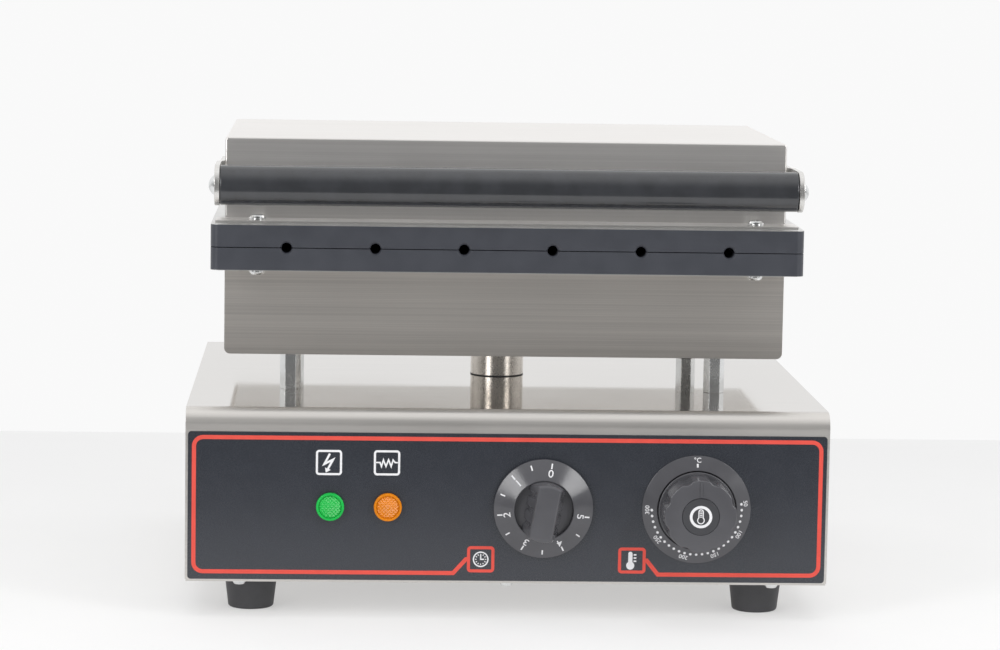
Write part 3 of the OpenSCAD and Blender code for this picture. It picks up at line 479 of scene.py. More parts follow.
@dataclass(frozen=True)
class CoatedCasting(GrainedSurface):
    """Casting with a dark coat on its cooking side and rim, and bare metal on its back."""

    split: float = 212.6 * MM
    coat_reach: float = 13.2 * MM
    fade: float = 0.3 * MM
    bare: Rgb = (0.72, 0.72, 0.71)

    def build(self) -> Graph:
        """Adds the bare back, which faces away from the split, to the coated surface.

        Returns:
            The node tree of the material.
        """
        graph = super().build()
        off = graph.sum_up("SUBTRACT", graph.axes(graph.coords.outputs["Object"])[2], self.split)
        away = graph.sum_up("GREATER_THAN", graph.sum_up("MULTIPLY", off, graph.normal()[2]))
        limits = (self.coat_reach, self.coat_reach + self.fade)
        bare = graph.sum_up("MULTIPLY", away, graph.span(graph.sum_up("ABSOLUTE", off), limits, (0.0, 1.0)))
        coat = graph.shader.inputs["Base Color"].links[0].from_socket
        graph.feed("Base Color", graph.blend(bare, coat, self.bare))
        graph.feed("Metallic", bare)
        return graph


@dataclass(frozen=True)
class PaleFloor(Finish):
    """Pale floor that the camera and mirror images see partly lit through, so that shadows stay light."""

    lit: float = 0.4
    specular: float = 0.2
    spread: float = 0.01
    clouds_per_metre: float = 8.0
    wear: Point = (-0.05, 0.05)

    def build(self) -> Graph:
        """Mixes the paint with white for the rays that show the floor.

        Returns:
            The node tree of the material.
        """
        graph = Graph(self.name)
        graph.constants({"Specular IOR Level": self.specular})
        clouds = graph.speckle(self.clouds_per_metre, PLAIN_DETAIL)
        self.cloud_colour(graph, clouds, self.spread)
        graph.feed("Roughness", self.swing(graph, clouds, self.wear))
        rays = graph.node("ShaderNodeLightPath", {}).outputs
        seen = graph.sum_up("MAXIMUM", rays["Is Camera Ray"], rays["Is Glossy Ray"])
        seen = graph.sum_up("MAXIMUM", seen, rays["Is Transmission Ray"])
        white = graph.node("ShaderNodeEmission", {"Strength": 1.0}).outputs[0]
        parts = {0: graph.sum_up("MULTIPLY", seen, self.lit), 1: graph.shader.outputs[0], 2: white}
        mixed = graph.node("ShaderNodeMixShader", parts).outputs[0]
        graph.tree.links.new(mixed, graph.tree.nodes["Material Output"].inputs["Surface"])
        return graph


HOUSING_STEEL = BrushedSheet(
    "housing_steel", Slot.SHEET, (0.745, 0.712, 0.675), 0.17, 0.18, sheen=0.95, contrast=0.09
)
LID_STEEL = BrushedSheet("lid_steel", Slot.SHEET, (0.85, 0.83, 0.81), 0.32, sheen=0.86, relief=0.002 * MM)
CABINET_STEEL = BrushedSheet(
    "cabinet_steel", Slot.SHEET, (0.76, 0.735, 0.705), 0.055, 0.3,
    smear=0.4, sheen=0.95, edge=0.86, relief=0.0004 * MM,
)
STRAP_STEEL = BrushedSheet("strap_steel", Slot.SHEET, (0.76, 0.75, 0.73), 0.24)
TUBE_STEEL = PlatedMetal("tube_steel", Slot.POLISHED, (0.76, 0.715, 0.66), 0.28)
ZINC = PlatedMetal("zinc_plating", Slot.PLATED, (0.76, 0.77, 0.77), 0.22)
SPRING_STEEL = PlatedMetal("spring_steel_black", Slot.SPRING, (0.14, 0.14, 0.15), 0.35)
SHEATH = PlatedMetal("element_sheath_steel", Slot.SHEATH, (0.3, 0.28, 0.26), 0.4)
COPPER = PlatedMetal("drawn_copper", Slot.COPPER, (0.72, 0.42, 0.26), 0.25)
BRASS = PlatedMetal("turned_brass", Slot.BRASS, (0.75, 0.58, 0.28), 0.25)
CASTING = CoatedCasting(
    "coated_casting_dark", Slot.CASTING, (0.056, 0.06, 0.073), 0.36, 0.7 * MM, spread=0.05
)
FILM = GrainedSurface(
    "overlay_film_dark", Slot.FILM, (0.023, 0.027, 0.037), 0.25, 0.35 * MM, 0.003 * MM, 0.03,
    specular=0.8, dulling=0.01,
)
KNOB_PLASTIC = KnobPlastic("knob_plastic_grey", Slot.KNOB, (0.088, 0.088, 0.097), 0.18)
CAP_PLASTIC = KnobPlastic("cap_plastic_dark", Slot.KNOB, (0.05, 0.051, 0.057), 0.35)
GRIP_PLASTIC = GrainedSurface(
    "grip_resin_black", Slot.GRIP, (0.03, 0.032, 0.037), 0.17, 0.6 * MM, 0.004 * MM, 0.12, specular=0.9
)
RUBBER = GrainedSurface("foot_rubber", Slot.RUBBER, (0.06, 0.06, 0.065), 0.55, 0.6 * MM, 0.02 * MM)
GLAND_NYLON = GrainedSurface("gland_nylon", Slot.GLAND, (0.035, 0.035, 0.038), 0.42)
GREEN_LENS = LensPlastic("green_lens_plastic", Slot.GREEN, (0.012, 0.45, 0.07), 0.2)
AMBER_LENS = LensPlastic("amber_lens_plastic", Slot.AMBER, (0.68, 0.21, 0.004), 0.2)
WHITE_PLASTIC = GrainedSurface("lamp_body_plastic", Slot.WHITE, (0.78, 0.76, 0.7), 0.45)
CASE_METAL = GrainedSurface("control_case_metal", Slot.CASE, (0.42, 0.42, 0.43), 0.4)
CERAMIC = GrainedSurface("terminal_ceramic_glaze", Slot.CERAMIC, (0.82, 0.8, 0.74), 0.2, 3 * MM)
FIBRE = GrainedSurface("fibre_blanket", Slot.FIBRE, (0.76, 0.72, 0.62), 0.95, 1.5 * MM, 0.8 * MM, 0.12)
RED_INK = PrintInk("red_ink", Slot.FILM, (0.76, 0.078, 0.055), spread=0.04)
WHITE_INK = PrintInk("white_ink", Slot.FILM, (0.82, 0.82, 0.84))
DIAL_INK = PrintInk("dial_ink", Slot.KNOB, (0.8, 0.8, 0.82))
FLOOR_PAINT = PaleFloor("floor_paint", Slot.WHITE, (0.93, 0.93, 0.93), 0.7)


def put_in_scene(name: str, data: bpy.types.ID) -> bpy.types.Object:
    """Makes an object of its data and links it to the scene."""
    made = bpy.data.objects.new(name, data)
    bpy.context.scene.collection.objects.link(made)
    return made


def as_mesh(name: str, mesh_data: BMesh) -> bpy.types.Mesh:
    """Turns a bmesh into mesh data.

    Args:
        name: Name of the mesh data.
        mesh_data: The bmesh, which is freed.

    Returns:
        The mesh data.
    """
    mesh = bpy.data.meshes.new(name)
    mesh_data.to_mesh(mesh)
    mesh_data.free()
    return mesh


def add_piece(
    name: str, mesh_data: BMesh, finish: Finish, body: Body, stands_for: Iterable[str] = ()
) -> None:
    """Makes an object of a mesh, dresses it and puts it on a body.

    Args:
        name: Name of the piece.
        mesh_data: The mesh at its place, which is freed.
        finish: Finish of the whole piece.
        body: Body that the piece rides on.
        stands_for: Nodes that the piece replaces.
    """
    for face in mesh_data.faces:
        face.smooth = True
    mesh = as_mesh(name, mesh_data)
    mesh.set_sharp_from_angle(angle=SHARP_ANGLE)
    mesh.materials.append(finish.material())
    piece = put_in_scene(name, mesh)
    flats = piece.modifiers.new("even_flats", "WEIGHTED_NORMAL")
    flats.keep_sharp, flats.weight = True, 100
    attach(piece, body.value)
    if stands_for:
        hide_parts(*stands_for)
    LOG.info("%s: %d faces, %s on %s", name, len(mesh.polygons), finish.name, body.value)


def place(mesh_data: BMesh, matrix: Matrix) -> BMesh:
    """Moves a whole mesh by a matrix and returns it."""
    bmesh.ops.transform(mesh_data, matrix=matrix, verts=mesh_data.verts)
    return mesh_data


def merge(parts: Iterable[BMesh]) -> BMesh:
    """Joins meshes into one, without welding them.

    Args:
        parts: Meshes, which are freed.

    Returns:
        One mesh with all their faces.
    """
    whole = bmesh.new()
    for part in parts:
        scratch = as_mesh("scratch", part)
        whole.from_mesh(scratch)
        bpy.data.meshes.remove(scratch)
    return whole


def only(kind: type, parts: Iterable) -> list:
    """Keeps the parts of a mesh that are of one kind, such as its vertices."""
    return [part for part in parts if isinstance(part, kind)]


def arc(centre: Point, radius: float, start: float, stop: float, steps: int = 6) -> list[Point]:
    """Gives points along an arc.

    Args:
        centre: Centre of the arc.
        radius: Radius of the arc.
        start: First angle in degrees.
        stop: Last angle in degrees.
        steps: Number of chords.

    Returns:
        The points, both ends included.
    """
    angles = [math.radians(start + (stop - start) * i / steps) for i in range(steps + 1)]
    return [(centre[0] + radius * math.cos(a), centre[1] + radius * math.sin(a)) for a in angles]


def lathe(profile: Sequence[Point], steps: int) -> BMesh:
    """Turns an outline about Z.

    Args:
        profile: Points as radius and height.
        steps: Number of faces round the axis.

    Returns:
        The turned mesh, with its faces outwards.
    """
    turned = bmesh.new()
    verts = [turned.verts.new((radius, 0, height)) for radius, height in profile]
    edges = [turned.edges.new(pair) for pair in zip(verts, verts[1:])]
    bmesh.ops.spin(
        turned, geom=verts + edges, cent=(0, 0, 0), axis=(0, 0, 1), angle=FULL_TURN, steps=steps,
        use_merge=True,
    )
    bmesh.ops.remove_doubles(turned, verts=turned.verts, dist=MERGE)
    bmesh.ops.recalc_face_normals(turned, faces=turned.faces)
    return turned


def soften(mesh_data: BMesh, edges: Sequence[bmesh.types.BMEdge], width: float, segments: int = 2) -> None:
    """Rounds edges of a mesh.

    Args:
        mesh_data: The mesh that holds the edges.
        edges: Edges to round.
        width: Width of the rounding.
        segments: Number of faces across it.
    """
    bmesh.ops.bevel(
        mesh_data, geom=list(edges), offset=width, offset_type="OFFSET", segments=segments, profile=0.5,
        affect="EDGES", clamp_overlap=True, material=-1,
    )


def sharp_edges(mesh_data: BMesh) -> list[bmesh.types.BMEdge]:
    """Finds edges where two faces meet at more than SHARP_ANGLE."""
    return [e for e in mesh_data.edges if len(e.link_faces) == 2 and e.calc_face_angle() > SHARP_ANGLE]


def edges_in_plane(mesh_data: BMesh, axis: int, level: float) -> list[bmesh.types.BMEdge]:
    """Finds sharp edges that lie in a plane square to an axis.

    Args:
        mesh_data: The mesh that holds the edges.
        axis: 0, 1 or 2 for X, Y or Z.
        level: Place of the plane on that axis.

    Returns:
        The edges.
    """
    return [e for e in sharp_edges(mesh_data) if all(abs(v.co[axis] - level) < IN_PLANE for v in e.verts)]


@dataclass(frozen=True)
class PackedFrame:
    """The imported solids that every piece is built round."""

    nodes: dict
    joints: list

    def mesh_of(self, node: str) -> BMesh:
        """Copies a node's mesh, with its loose triangles merged into whole faces.

        Args:
            node: Name of the node.

        Returns:
            The merged copy.
        """
        copy = bmesh.new()
        copy.from_mesh(self.nodes[node].data)
        bmesh.ops.remove_doubles(copy, verts=copy.verts, dist=MERGE)
        bmesh.ops.dissolve_limit(copy, angle_limit=FLAT_ANGLE, verts=copy.verts, edges=copy.edges)
        return copy

    def soft_copy(self, node: str, finish: Finish, body: Body, width: float) -> None:
        """Replaces a node by a copy with rounded edges.

        Args:
            node: Name of the node.
            finish: Finish of the copy.
            body: Body that the copy rides on.
            width: Width of the rounding.
        """
        copy = self.mesh_of(node)
        soften(copy, sharp_edges(copy), width)
        add_piece(f"{node}_piece", copy, finish, body, [node])

    def plate_copy(
        self, node: str, body: Body, back: float,
        rim: float = 1.5 * MM, edge: float = 0.5 * MM, band: float = 6 * MM,
    ) -> None:
        """Replaces a mould plate by a copy with a round rim at its back and fine edges elsewhere.

        Args:
            node: Name of the plate.
            body: Body that the copy rides on.
            back: Height of the plate's back face.
            rim: Width of the rounding round the back face.
            edge: Width of the other roundings.
            band: Width of the strip along the plate's outline that holds its rim.
        """
        copy = self.mesh_of(node)
        reach_x = max(v.co.x for v in copy.verts) - band
        front = min(v.co.y for v in copy.verts) + band
        on_back = edges_in_plane(copy, 2, back)
        outer = [e for e in on_back if all(abs(v.co.x) > reach_x or abs(v.co.y) > -front for v in e.verts)]
        soften(copy, outer, rim, FOLD_STEPS)
        soften(copy, sharp_edges(copy), edge)
        add_piece(f"{node}_piece", copy, CASTING, body, [node])

    def dress(self, nodes: Iterable[str], finish: Finish) -> None:
        """Gives nodes that keep their own mesh a finish.

        Args:
            nodes: Names of the nodes.
            finish: Finish of them all.
        """
        for node in nodes:
            self.nodes[node].data.materials.clear()
            self.nodes[node].data.materials.append(finish.material())
            LOG.info("%s: kept, %s", node, finish.name)

    def middle(self, node: str) -> Vector:
        """Gives the middle of a node's box."""
        low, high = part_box(node)
        return (low + high) / 2

    def size(self, node: str) -> Vector:
        """Gives the size of a node's box."""
        low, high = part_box(node)
        return high - low

    def axis_point(self, joint: str) -> Vector:
        """Gives the point that a joint turns about."""
        found = next(j for j in self.joints if j["name"] == joint)
        return Vector(found["pos_m"])


@dataclass
class Ink:
    """Flat print in the plane of X and Y, given a small thickness at the end."""

    thickness: float = 0.07 * MM
    parts: list[BMesh] = field(default_factory=list)

    def shape(self, outline: Sequence[Point]) -> None:
        """Fills an outline."""
        flat = bmesh.new()
        flat.faces.new([flat.verts.new((x, y, 0)) for x, y in outline])
        self.parts.append(flat)

    def ring(self, centre: Point, outer: float, inner: float = 0.0, steps: int = 40) -> None:
        """Prints a disc, or a ring round a bare middle.

        Args:
            centre: Middle of the ring.
            outer: Outer radius.
            inner: Inner radius, 0 for a disc.
            steps: Number of sides.
        """
        flat = bmesh.new()
        bmesh.ops.create_circle(flat, cap_ends=inner == 0, segments=steps, radius=outer)
        if inner:
            bmesh.ops.create_circle(flat, cap_ends=False, segments=steps, radius=inner)
            bmesh.ops.bridge_loops(flat, edges=flat.edges)
        bmesh.ops.translate(flat, verts=flat.verts, vec=(*centre, 0))
        self.parts.append(flat)

    def line(self, points: Sequence[Point], width: float, closed: bool = False) -> None:
        """Prints a line with mitred bends.

        Args:
            points: Points of the centre line.
            width: Width of the line.
            closed: Whether the last point joins the first.
        """
        path = [Vector(p) for p in points]
        last = len(path) - 1
        sides = []
        for i, here in enumerate(path):
            before = path[i - 1] if i or closed else None
            after = path[(i + 1) % len(path)] if i < last or closed else None
            ways = [(here - before).normalized()] if before is not None else []
            ways += [(after - here).normalized()] if after is not None else []
            normals = [Vector((-w.y, w.x)) for w in ways]
            mitre = sum(normals, Vector((0, 0))).normalized()
            offset = mitre * (width / 2 / max(mitre.dot(normals[0]), MITRE_LIMIT))
            sides.append((here + offset, here - offset))
        flat = bmesh.new()
        pairs = [(flat.verts.new((*a, 0)), flat.verts.new((*b, 0))) for a, b in sides]
        nexts = pairs[1:] + pairs[:1] if closed else pairs[1:]
        for (a, b), (c, d) in zip(pairs, nexts):
            flat.faces.new((a, b, d, c))
        self.parts.append(flat)

    def frame(self, low: Point, high: Point, radius: float, width: float) -> None:
        """Prints the outline of a rectangle with round corners.

        Args:
            low: Lower left corner of the outer edge.
            high: Upper right corner of the outer edge.
            radius: Outer radius of the corners.
            width: Width of the line.
        """
        half = width / 2
        left, bottom, right, top = low[0] + radius, low[1] + radius, high[0] - radius, high[1] - radius
        corners = [((right, top), 0), ((left, top), 90), ((left, bottom), 180), ((right, bottom), 270)]
        self.line([p for c, a in corners for p in arc(c, radius - half, a, a + 90)], width, closed=True)

    def text(self, words: str, height: float, matrix: Matrix, weight: float) -> None:
        """Prints figures, centred.

        Args:
            words: The figures.
            height: Height of a figure.
            matrix: Place of their middle.
            weight: Extra thickness of the strokes.
        """
        curve = bpy.data.curves.new("figures", "FONT")
        curve.body, curve.size, curve.offset = words, height / FIGURE_SHARE, weight
        curve.align_x, curve.align_y = "CENTER", "CENTER"
        holder = put_in_scene("figures", curve)
        drawn = holder.evaluated_get(bpy.context.evaluated_depsgraph_get()).to_mesh()
        flat = bmesh.new()
        flat.from_mesh(drawn)
        bpy.data.objects.remove(holder)
        bpy.data.curves.remove(curve)
        self.parts.append(place(flat, matrix))

    def finish(self, matrix: Matrix) -> BMesh:
        """Gives the print its thickness and its place.

        Args:
            matrix: Place of the print's plane.

        Returns:
            The whole print as one mesh.
        """
        whole = merge(self.parts)
        bmesh.ops.remove_doubles(whole, verts=whole.verts, dist=MERGE)
        raised = bmesh.ops.extrude_face_region(whole, geom=whole.faces[:], use_keep_orig=True)["geom"]
        bmesh.ops.translate(whole, verts=only(bmesh.types.BMVert, raised), vec=(0, 0, self.thickness))
        bmesh.ops.recalc_face_normals(whole, faces=whole.faces)
        return place(whole, matrix)


def thermometer_outline(bulb: Point, bulb_r: float, stem_r: float, stem_h: float) -> list[Point]:
    """Gives the outline of a thermometer.

    Args:
        bulb: Middle of the bulb.
        bulb_r: Radius of the bulb.
        stem_r: Half the width of the stem.
        stem_h: Height of the stem's top arc over the bulb's middle.

    Returns:
        The points of the outline.
    """
    neck = math.degrees(math.asin(stem_r / bulb_r))
    return arc(bulb, bulb_r, 90 + neck, 450 - neck, 24) + arc((bulb[0], bulb[1] + stem_h), stem_r, 0, 180, 10)


def about(middle: Point, points: Iterable[Point]) -> list[Point]:
    """Places points that are given in millimetres about a middle."""
    return [(middle[0] + x * MM, middle[1] + y * MM) for x, y in points]


def turn_about(axis: str, degrees: float) -> Matrix:
    """Gives a turn about an axis."""
    return Matrix.Rotation(math.radians(degrees), 4, axis)


def on_panel(x: float, y: float, z: float, turn: float = 0.0) -> Matrix:
    """Gives a plane on the front panel, with X right, Y up and Z out of it.

    Args:
        x: Place across.
        y: Place front to back.
        z: Height.
        turn: Turn about the way out, in degrees.

    Returns:
        The matrix of the plane.
    """
    return Matrix.Translation((x, y, z)) @ turn_about("X", 90) @ turn_about("Z", turn)


@dataclass(frozen=True)
class DialCone:
    """Sloping face of a dial, as the radius and height of its foot and its fall in degrees."""

    foot: Point
    fall: float

    def lay(self, ink: Ink, angle: float, radius: float) -> BMesh:
        """Lays a print on the cone.

        Args:
            ink: The print, with its Y pointing outwards.
            angle: Angle from the dial's X, in degrees.
            radius: Distance of the print's middle from the dial's middle.

        Returns:
            The print at its place on the dial.
        """
        height = self.foot[1] + (self.foot[0] - radius) * math.tan(math.radians(self.fall))
        spot = Matrix.Translation((0, radius, height - INK_SUNK))
        return ink.finish(turn_about("Z", angle - 90) @ spot @ turn_about("X", -self.fall))


@dataclass
class Cabinet:
    """Folded base with its side panels, bottom, feet and mains gland.

    The pocket in a foot is given as its radius and its depth.
    """

    frame: PackedFrame
    edge: float = 0.35 * MM
    foot_round: float = 1.6 * MM
    foot_taper: float = 2.25 * MM
    foot_pocket: Point = (6 * MM, 11 * MM)
    foot_bore: float = 2.7 * MM

    def build(self) -> None:
        """Builds the cabinet's pieces."""
        for node in ("base_shell", "left_side_panel", "right_side_panel", "bottom_plate"):
            self.frame.soft_copy(node, CABINET_STEEL, Body.BASE, self.edge)
        for node in ("mains_gland", "gland_locknut"):
            self.frame.soft_copy(node, GLAND_NYLON, Body.BASE, self.edge)
        self.frame.dress(["bottom_screws", "foot_screws"], ZINC)
        for corner in CORNERS:
            self.foot(f"foot_{corner}")

    def foot(self, node: str) -> None:
        """Turns one rubber foot with round edges and the pocket of its screw.

        Args:
            node: Name of the node that the foot replaces.
        """
        low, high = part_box(node)
        middle, top_r, height = (low + high) / 2, (high.x - low.x) / 2, high.z - low.z
        tip_r, bore_r, lip = top_r - self.foot_taper, self.foot_bore, self.foot_round
        pocket_r, pocket_h = self.foot_pocket
        profile = [(bore_r, pocket_h), (pocket_r, pocket_h), (pocket_r, 0), (tip_r - 2 * lip, 0)]
        profile += arc((tip_r - lip, lip), lip, -90, 0)
        profile += arc((top_r - lip / 2, height - lip / 2), lip / 2, 0, 90)
        profile += [(bore_r, height), (bore_r, pocket_h)]
        foot = place(lathe(profile, steps=56), Matrix.Translation((middle.x, middle.y, 0)))
        add_piece(f"{node}_piece", foot, RUBBER, Body.BASE, [node])


@dataclass
class ControlPanel:
    """Dark overlay with its red border, its symbols and the two lamps.

    The line round a box is given as its corner radius and its width, and the symbols in millimetres
    about the middles of their boxes.
    """

    frame: PackedFrame
    film_edge: float = 0.12 * MM
    border: Box = ((-183.7 * MM, 26.3 * MM), (183.7 * MM, 107.5 * MM))
    border_w: float = 2.4 * MM
    border_r: float = 6.5 * MM
    border_ledge: float = 0.6 * MM
    border_slopes: Point = (8 * MM, 7.2 * MM)
    clock_box: Box = ((-23.5 * MM, 28 * MM), (-7.5 * MM, 43.5 * MM))
    heat_box: Box = ((64.8 * MM, 28 * MM), (81 * MM, 43.4 * MM))
    red_box: Point = (2.2 * MM, 1.8 * MM)
    power_box: Box = ((-112 * MM, 84.6 * MM), (-96.8 * MM, 99.4 * MM))
    coil_box: Box = ((-78.4 * MM, 84.7 * MM), (-63.1 * MM, 99.5 * MM))
    white_box: Point = (2 * MM, 1.25 * MM)
    flash_line: Sequence[Point] = ((0.5, 5.2), (-2.6, -0.8), (2.3, 1.7), (-0.5, -3.6))
    flash_head: Sequence[Point] = ((-2.3, -2.9), (-1.8, -5.9), (1.1, -4.3))
    flash_w: float = 1.25 * MM
    coil_line: Sequence[Point] = (
        (-6.6, 0.2), (-4.1, 0.2), (-3.2, -2.1), (-2.1, 1.7), (-0.6, -2.1),
        (0.9, 1.8), (2.4, -2.1), (3.5, 1.7), (4.7, 0.2), (6.6, 0.2),
    )
    coil_w: float = 0.85 * MM
    clock_rim: Point = (4.6 * MM, 3.85 * MM)
    clock_hours: Point = (2.5, 3.3)
    clock_hands: Sequence[Point] = ((0, 2.6), (0, 0), (2, 0))
    hour_w: float = 0.55 * MM
    hand_w: float = 0.75 * MM
    stem_shift: float = 0.9 * MM
    bulb_drop: float = 3 * MM
    thermometer_size: Spot = (2.4 * MM, 1.25 * MM, 7 * MM)
    degree_levels: Spot = (3.4, 3.4 - 1.9, 3.4 - 1.9 * 2)
    degree_ends: Point = (1.9, 3.5)
    degree_w: float = 0.9 * MM
    lamp_rim_w: float = 1.35 * MM
    lamp_face_h: float = 2.3 * MM
    lamp_neck_r: float = 6 * MM
    lamp_edge: float = 0.6 * MM
    lamp_seam: float = 0.2 * MM
    prism_pitch: float = 1.55 * MM
    prism_rise: float = 0.45 * MM
    prism_crown: float = 0.25 * MM
    front: float = field(init=False)

    def build(self) -> None:
        """Builds the overlay, its print and the lamps."""
        self.frame.soft_copy("control_overlay", FILM, Body.BASE, self.film_edge)
        self.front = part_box("control_overlay")[0].y
        self.border_print()
        self.symbol_print()
        self.lamp("green_lamp_lens", GREEN_LENS)
        self.lamp("amber_lamp_lens", AMBER_LENS)

    def print_on(self, name: str, ink: Ink, finish: Finish) -> None:
        """Puts a print on the overlay."""
        add_piece(name, ink.finish(on_panel(0, self.front, 0)), finish, Body.BASE)

    def border_print(self) -> None:
        """Prints the red border, broken at the bottom where it rises to the two red boxes."""
        ink, half, ledge = Ink(), self.border_w / 2, self.border_ledge
        (x0, z0), (x1, z1) = self.border
        left, right, bottom, top = x0 + half, x1 - half, z0 + half, z1 - half
        r = self.border_r - half
        rise = (self.clock_box[0][1] + self.clock_box[1][1]) / 2
        clock_x, heat_x = self.clock_box[0][0], self.heat_box[1][0]
        start = [(clock_x, rise), (clock_x - ledge, rise), (clock_x - self.border_slopes[0], bottom)]
        around = arc((left + r, bottom + r), r, 270, 180) + arc((left + r, top - r), r, 180, 90)
        around += arc((right - r, top - r), r, 90, 0) + arc((right - r, bottom + r), r, 0, -90)
        stop = [(heat_x + self.border_slopes[1], bottom), (heat_x + ledge, rise), (heat_x, rise)]
        ink.line(start + around + stop, self.border_w)
        for low, high in (self.clock_box, self.heat_box):
            ink.frame(low, high, *self.red_box)
        self.print_on("panel_border_print", ink, RED_INK)

    def symbol_print(self) -> None:
        """Prints the white boxes with a flash and a coil, the clock and the thermometer."""
        ink = Ink()
        for low, high in (self.power_box, self.coil_box):
            ink.frame(low, high, *self.white_box)
        power = self.box_middle(self.power_box)
        ink.line(about(power, self.flash_line), self.flash_w)
        ink.shape(about(power, self.flash_head))
        ink.line(about(self.box_middle(self.coil_box), self.coil_line), self.coil_w)
        self.clock(ink, self.box_middle(self.clock_box))
        self.thermometer(ink, self.box_middle(self.heat_box))
        self.print_on("panel_symbol_print", ink, WHITE_INK)

    @staticmethod
    def box_middle(box: Box) -> Point:
        """Gives the middle of a box."""
        return (box[0][0] + box[1][0]) / 2, (box[0][1] + box[1][1]) / 2

    def clock(self, ink: Ink, middle: Point) -> None:
        """Draws a clock face with hour marks and two hands.

        Args:
            ink: The print that it is added to.
            middle: Middle of the clock.
        """
        ink.ring(middle, *self.clock_rim)
        for hour in range(12):
            way = Vector((math.cos(math.radians(30 * hour)), math.sin(math.radians(30 * hour))))
            ink.line([Vector(middle) + way * reach * MM for reach in self.clock_hours], self.hour_w)
        ink.line(about(middle, self.clock_hands), self.hand_w)

    def thermometer(self, ink: Ink, middle: Point) -> None:
        """Draws a thermometer with a scale beside its stem.

        Args:
            ink: The print that it is added to.
            middle: Middle of the thermometer and its scale.
        """
        x, z = middle[0] - self.stem_shift, middle[1]
        ink.shape(thermometer_outline((x, z - self.bulb_drop), *self.thermometer_size))
        for level in self.degree_levels:
            ink.line(about((x, z), [(end, level) for end in self.degree_ends]), self.degree_w)

    def lamp(self, node: str, finish: Finish) -> None:
        """Turns a lamp's rim and fills it with small pyramids.

        Args:
            node: Name of the lens that the piece replaces.
            finish: Finish of the lens.
        """
        middle, rim_r = self.frame.middle(node), self.frame.size(node).x / 2
        low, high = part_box(node)
        rim_h, neck_h = self.front - low.y, self.front - high.y
        neck_r, face_h, edge, seam = self.lamp_neck_r, self.lamp_face_h, self.lamp_edge, self.lamp_seam
        face_r = rim_r - self.lamp_rim_w
        profile = [(0, neck_h), (neck_r, neck_h), (neck_r, 0), (rim_r - seam, 0), (rim_r, seam)]
        profile += arc((rim_r - edge, rim_h - edge), edge, 0, 90)
        profile += arc((face_r + edge / 2, rim_h - edge / 2), edge / 2, 90, 180)
        profile += [(face_r, face_h - seam), (0, face_h)]
        lens = merge([lathe(profile, steps=64), self.prisms(face_r)])
        seat = on_panel(middle.x, self.front, middle.z)
        add_piece(f"{node}_piece", place(lens, seat), finish, Body.BASE, [node])

    def prisms(self, radius: float) -> BMesh:
        """Makes the pyramids of a lens, cut to a circle.

        Args:
            radius: Radius of the lens face.

        Returns:
            The pyramids.
        """
        pitch = self.prism_pitch
        count = 2 * math.ceil(radius / pitch)
        grid = bmesh.new()
        bmesh.ops.create_grid(grid, x_segments=count, y_segments=count, size=count * pitch / 2)
        place(grid, Matrix.Translation((0, 0, self.lamp_face_h)) @ turn_about("Z", 45))
        outside = [v for v in grid.verts if math.hypot(v.co.x, v.co.y) > radius + pitch / 3]
        bmesh.ops.delete(grid, geom=outside, context="VERTS")
        for vert in grid.verts:
            reach = math.hypot(vert.co.x, vert.co.y)
            vert.co.z += self.prism_crown * (1 - (reach / radius) ** 2)
            if reach > radius:
                vert.co.xy *= radius / reach
        bmesh.ops.poke(grid, faces=grid.faces, offset=self.prism_rise)
        return grid


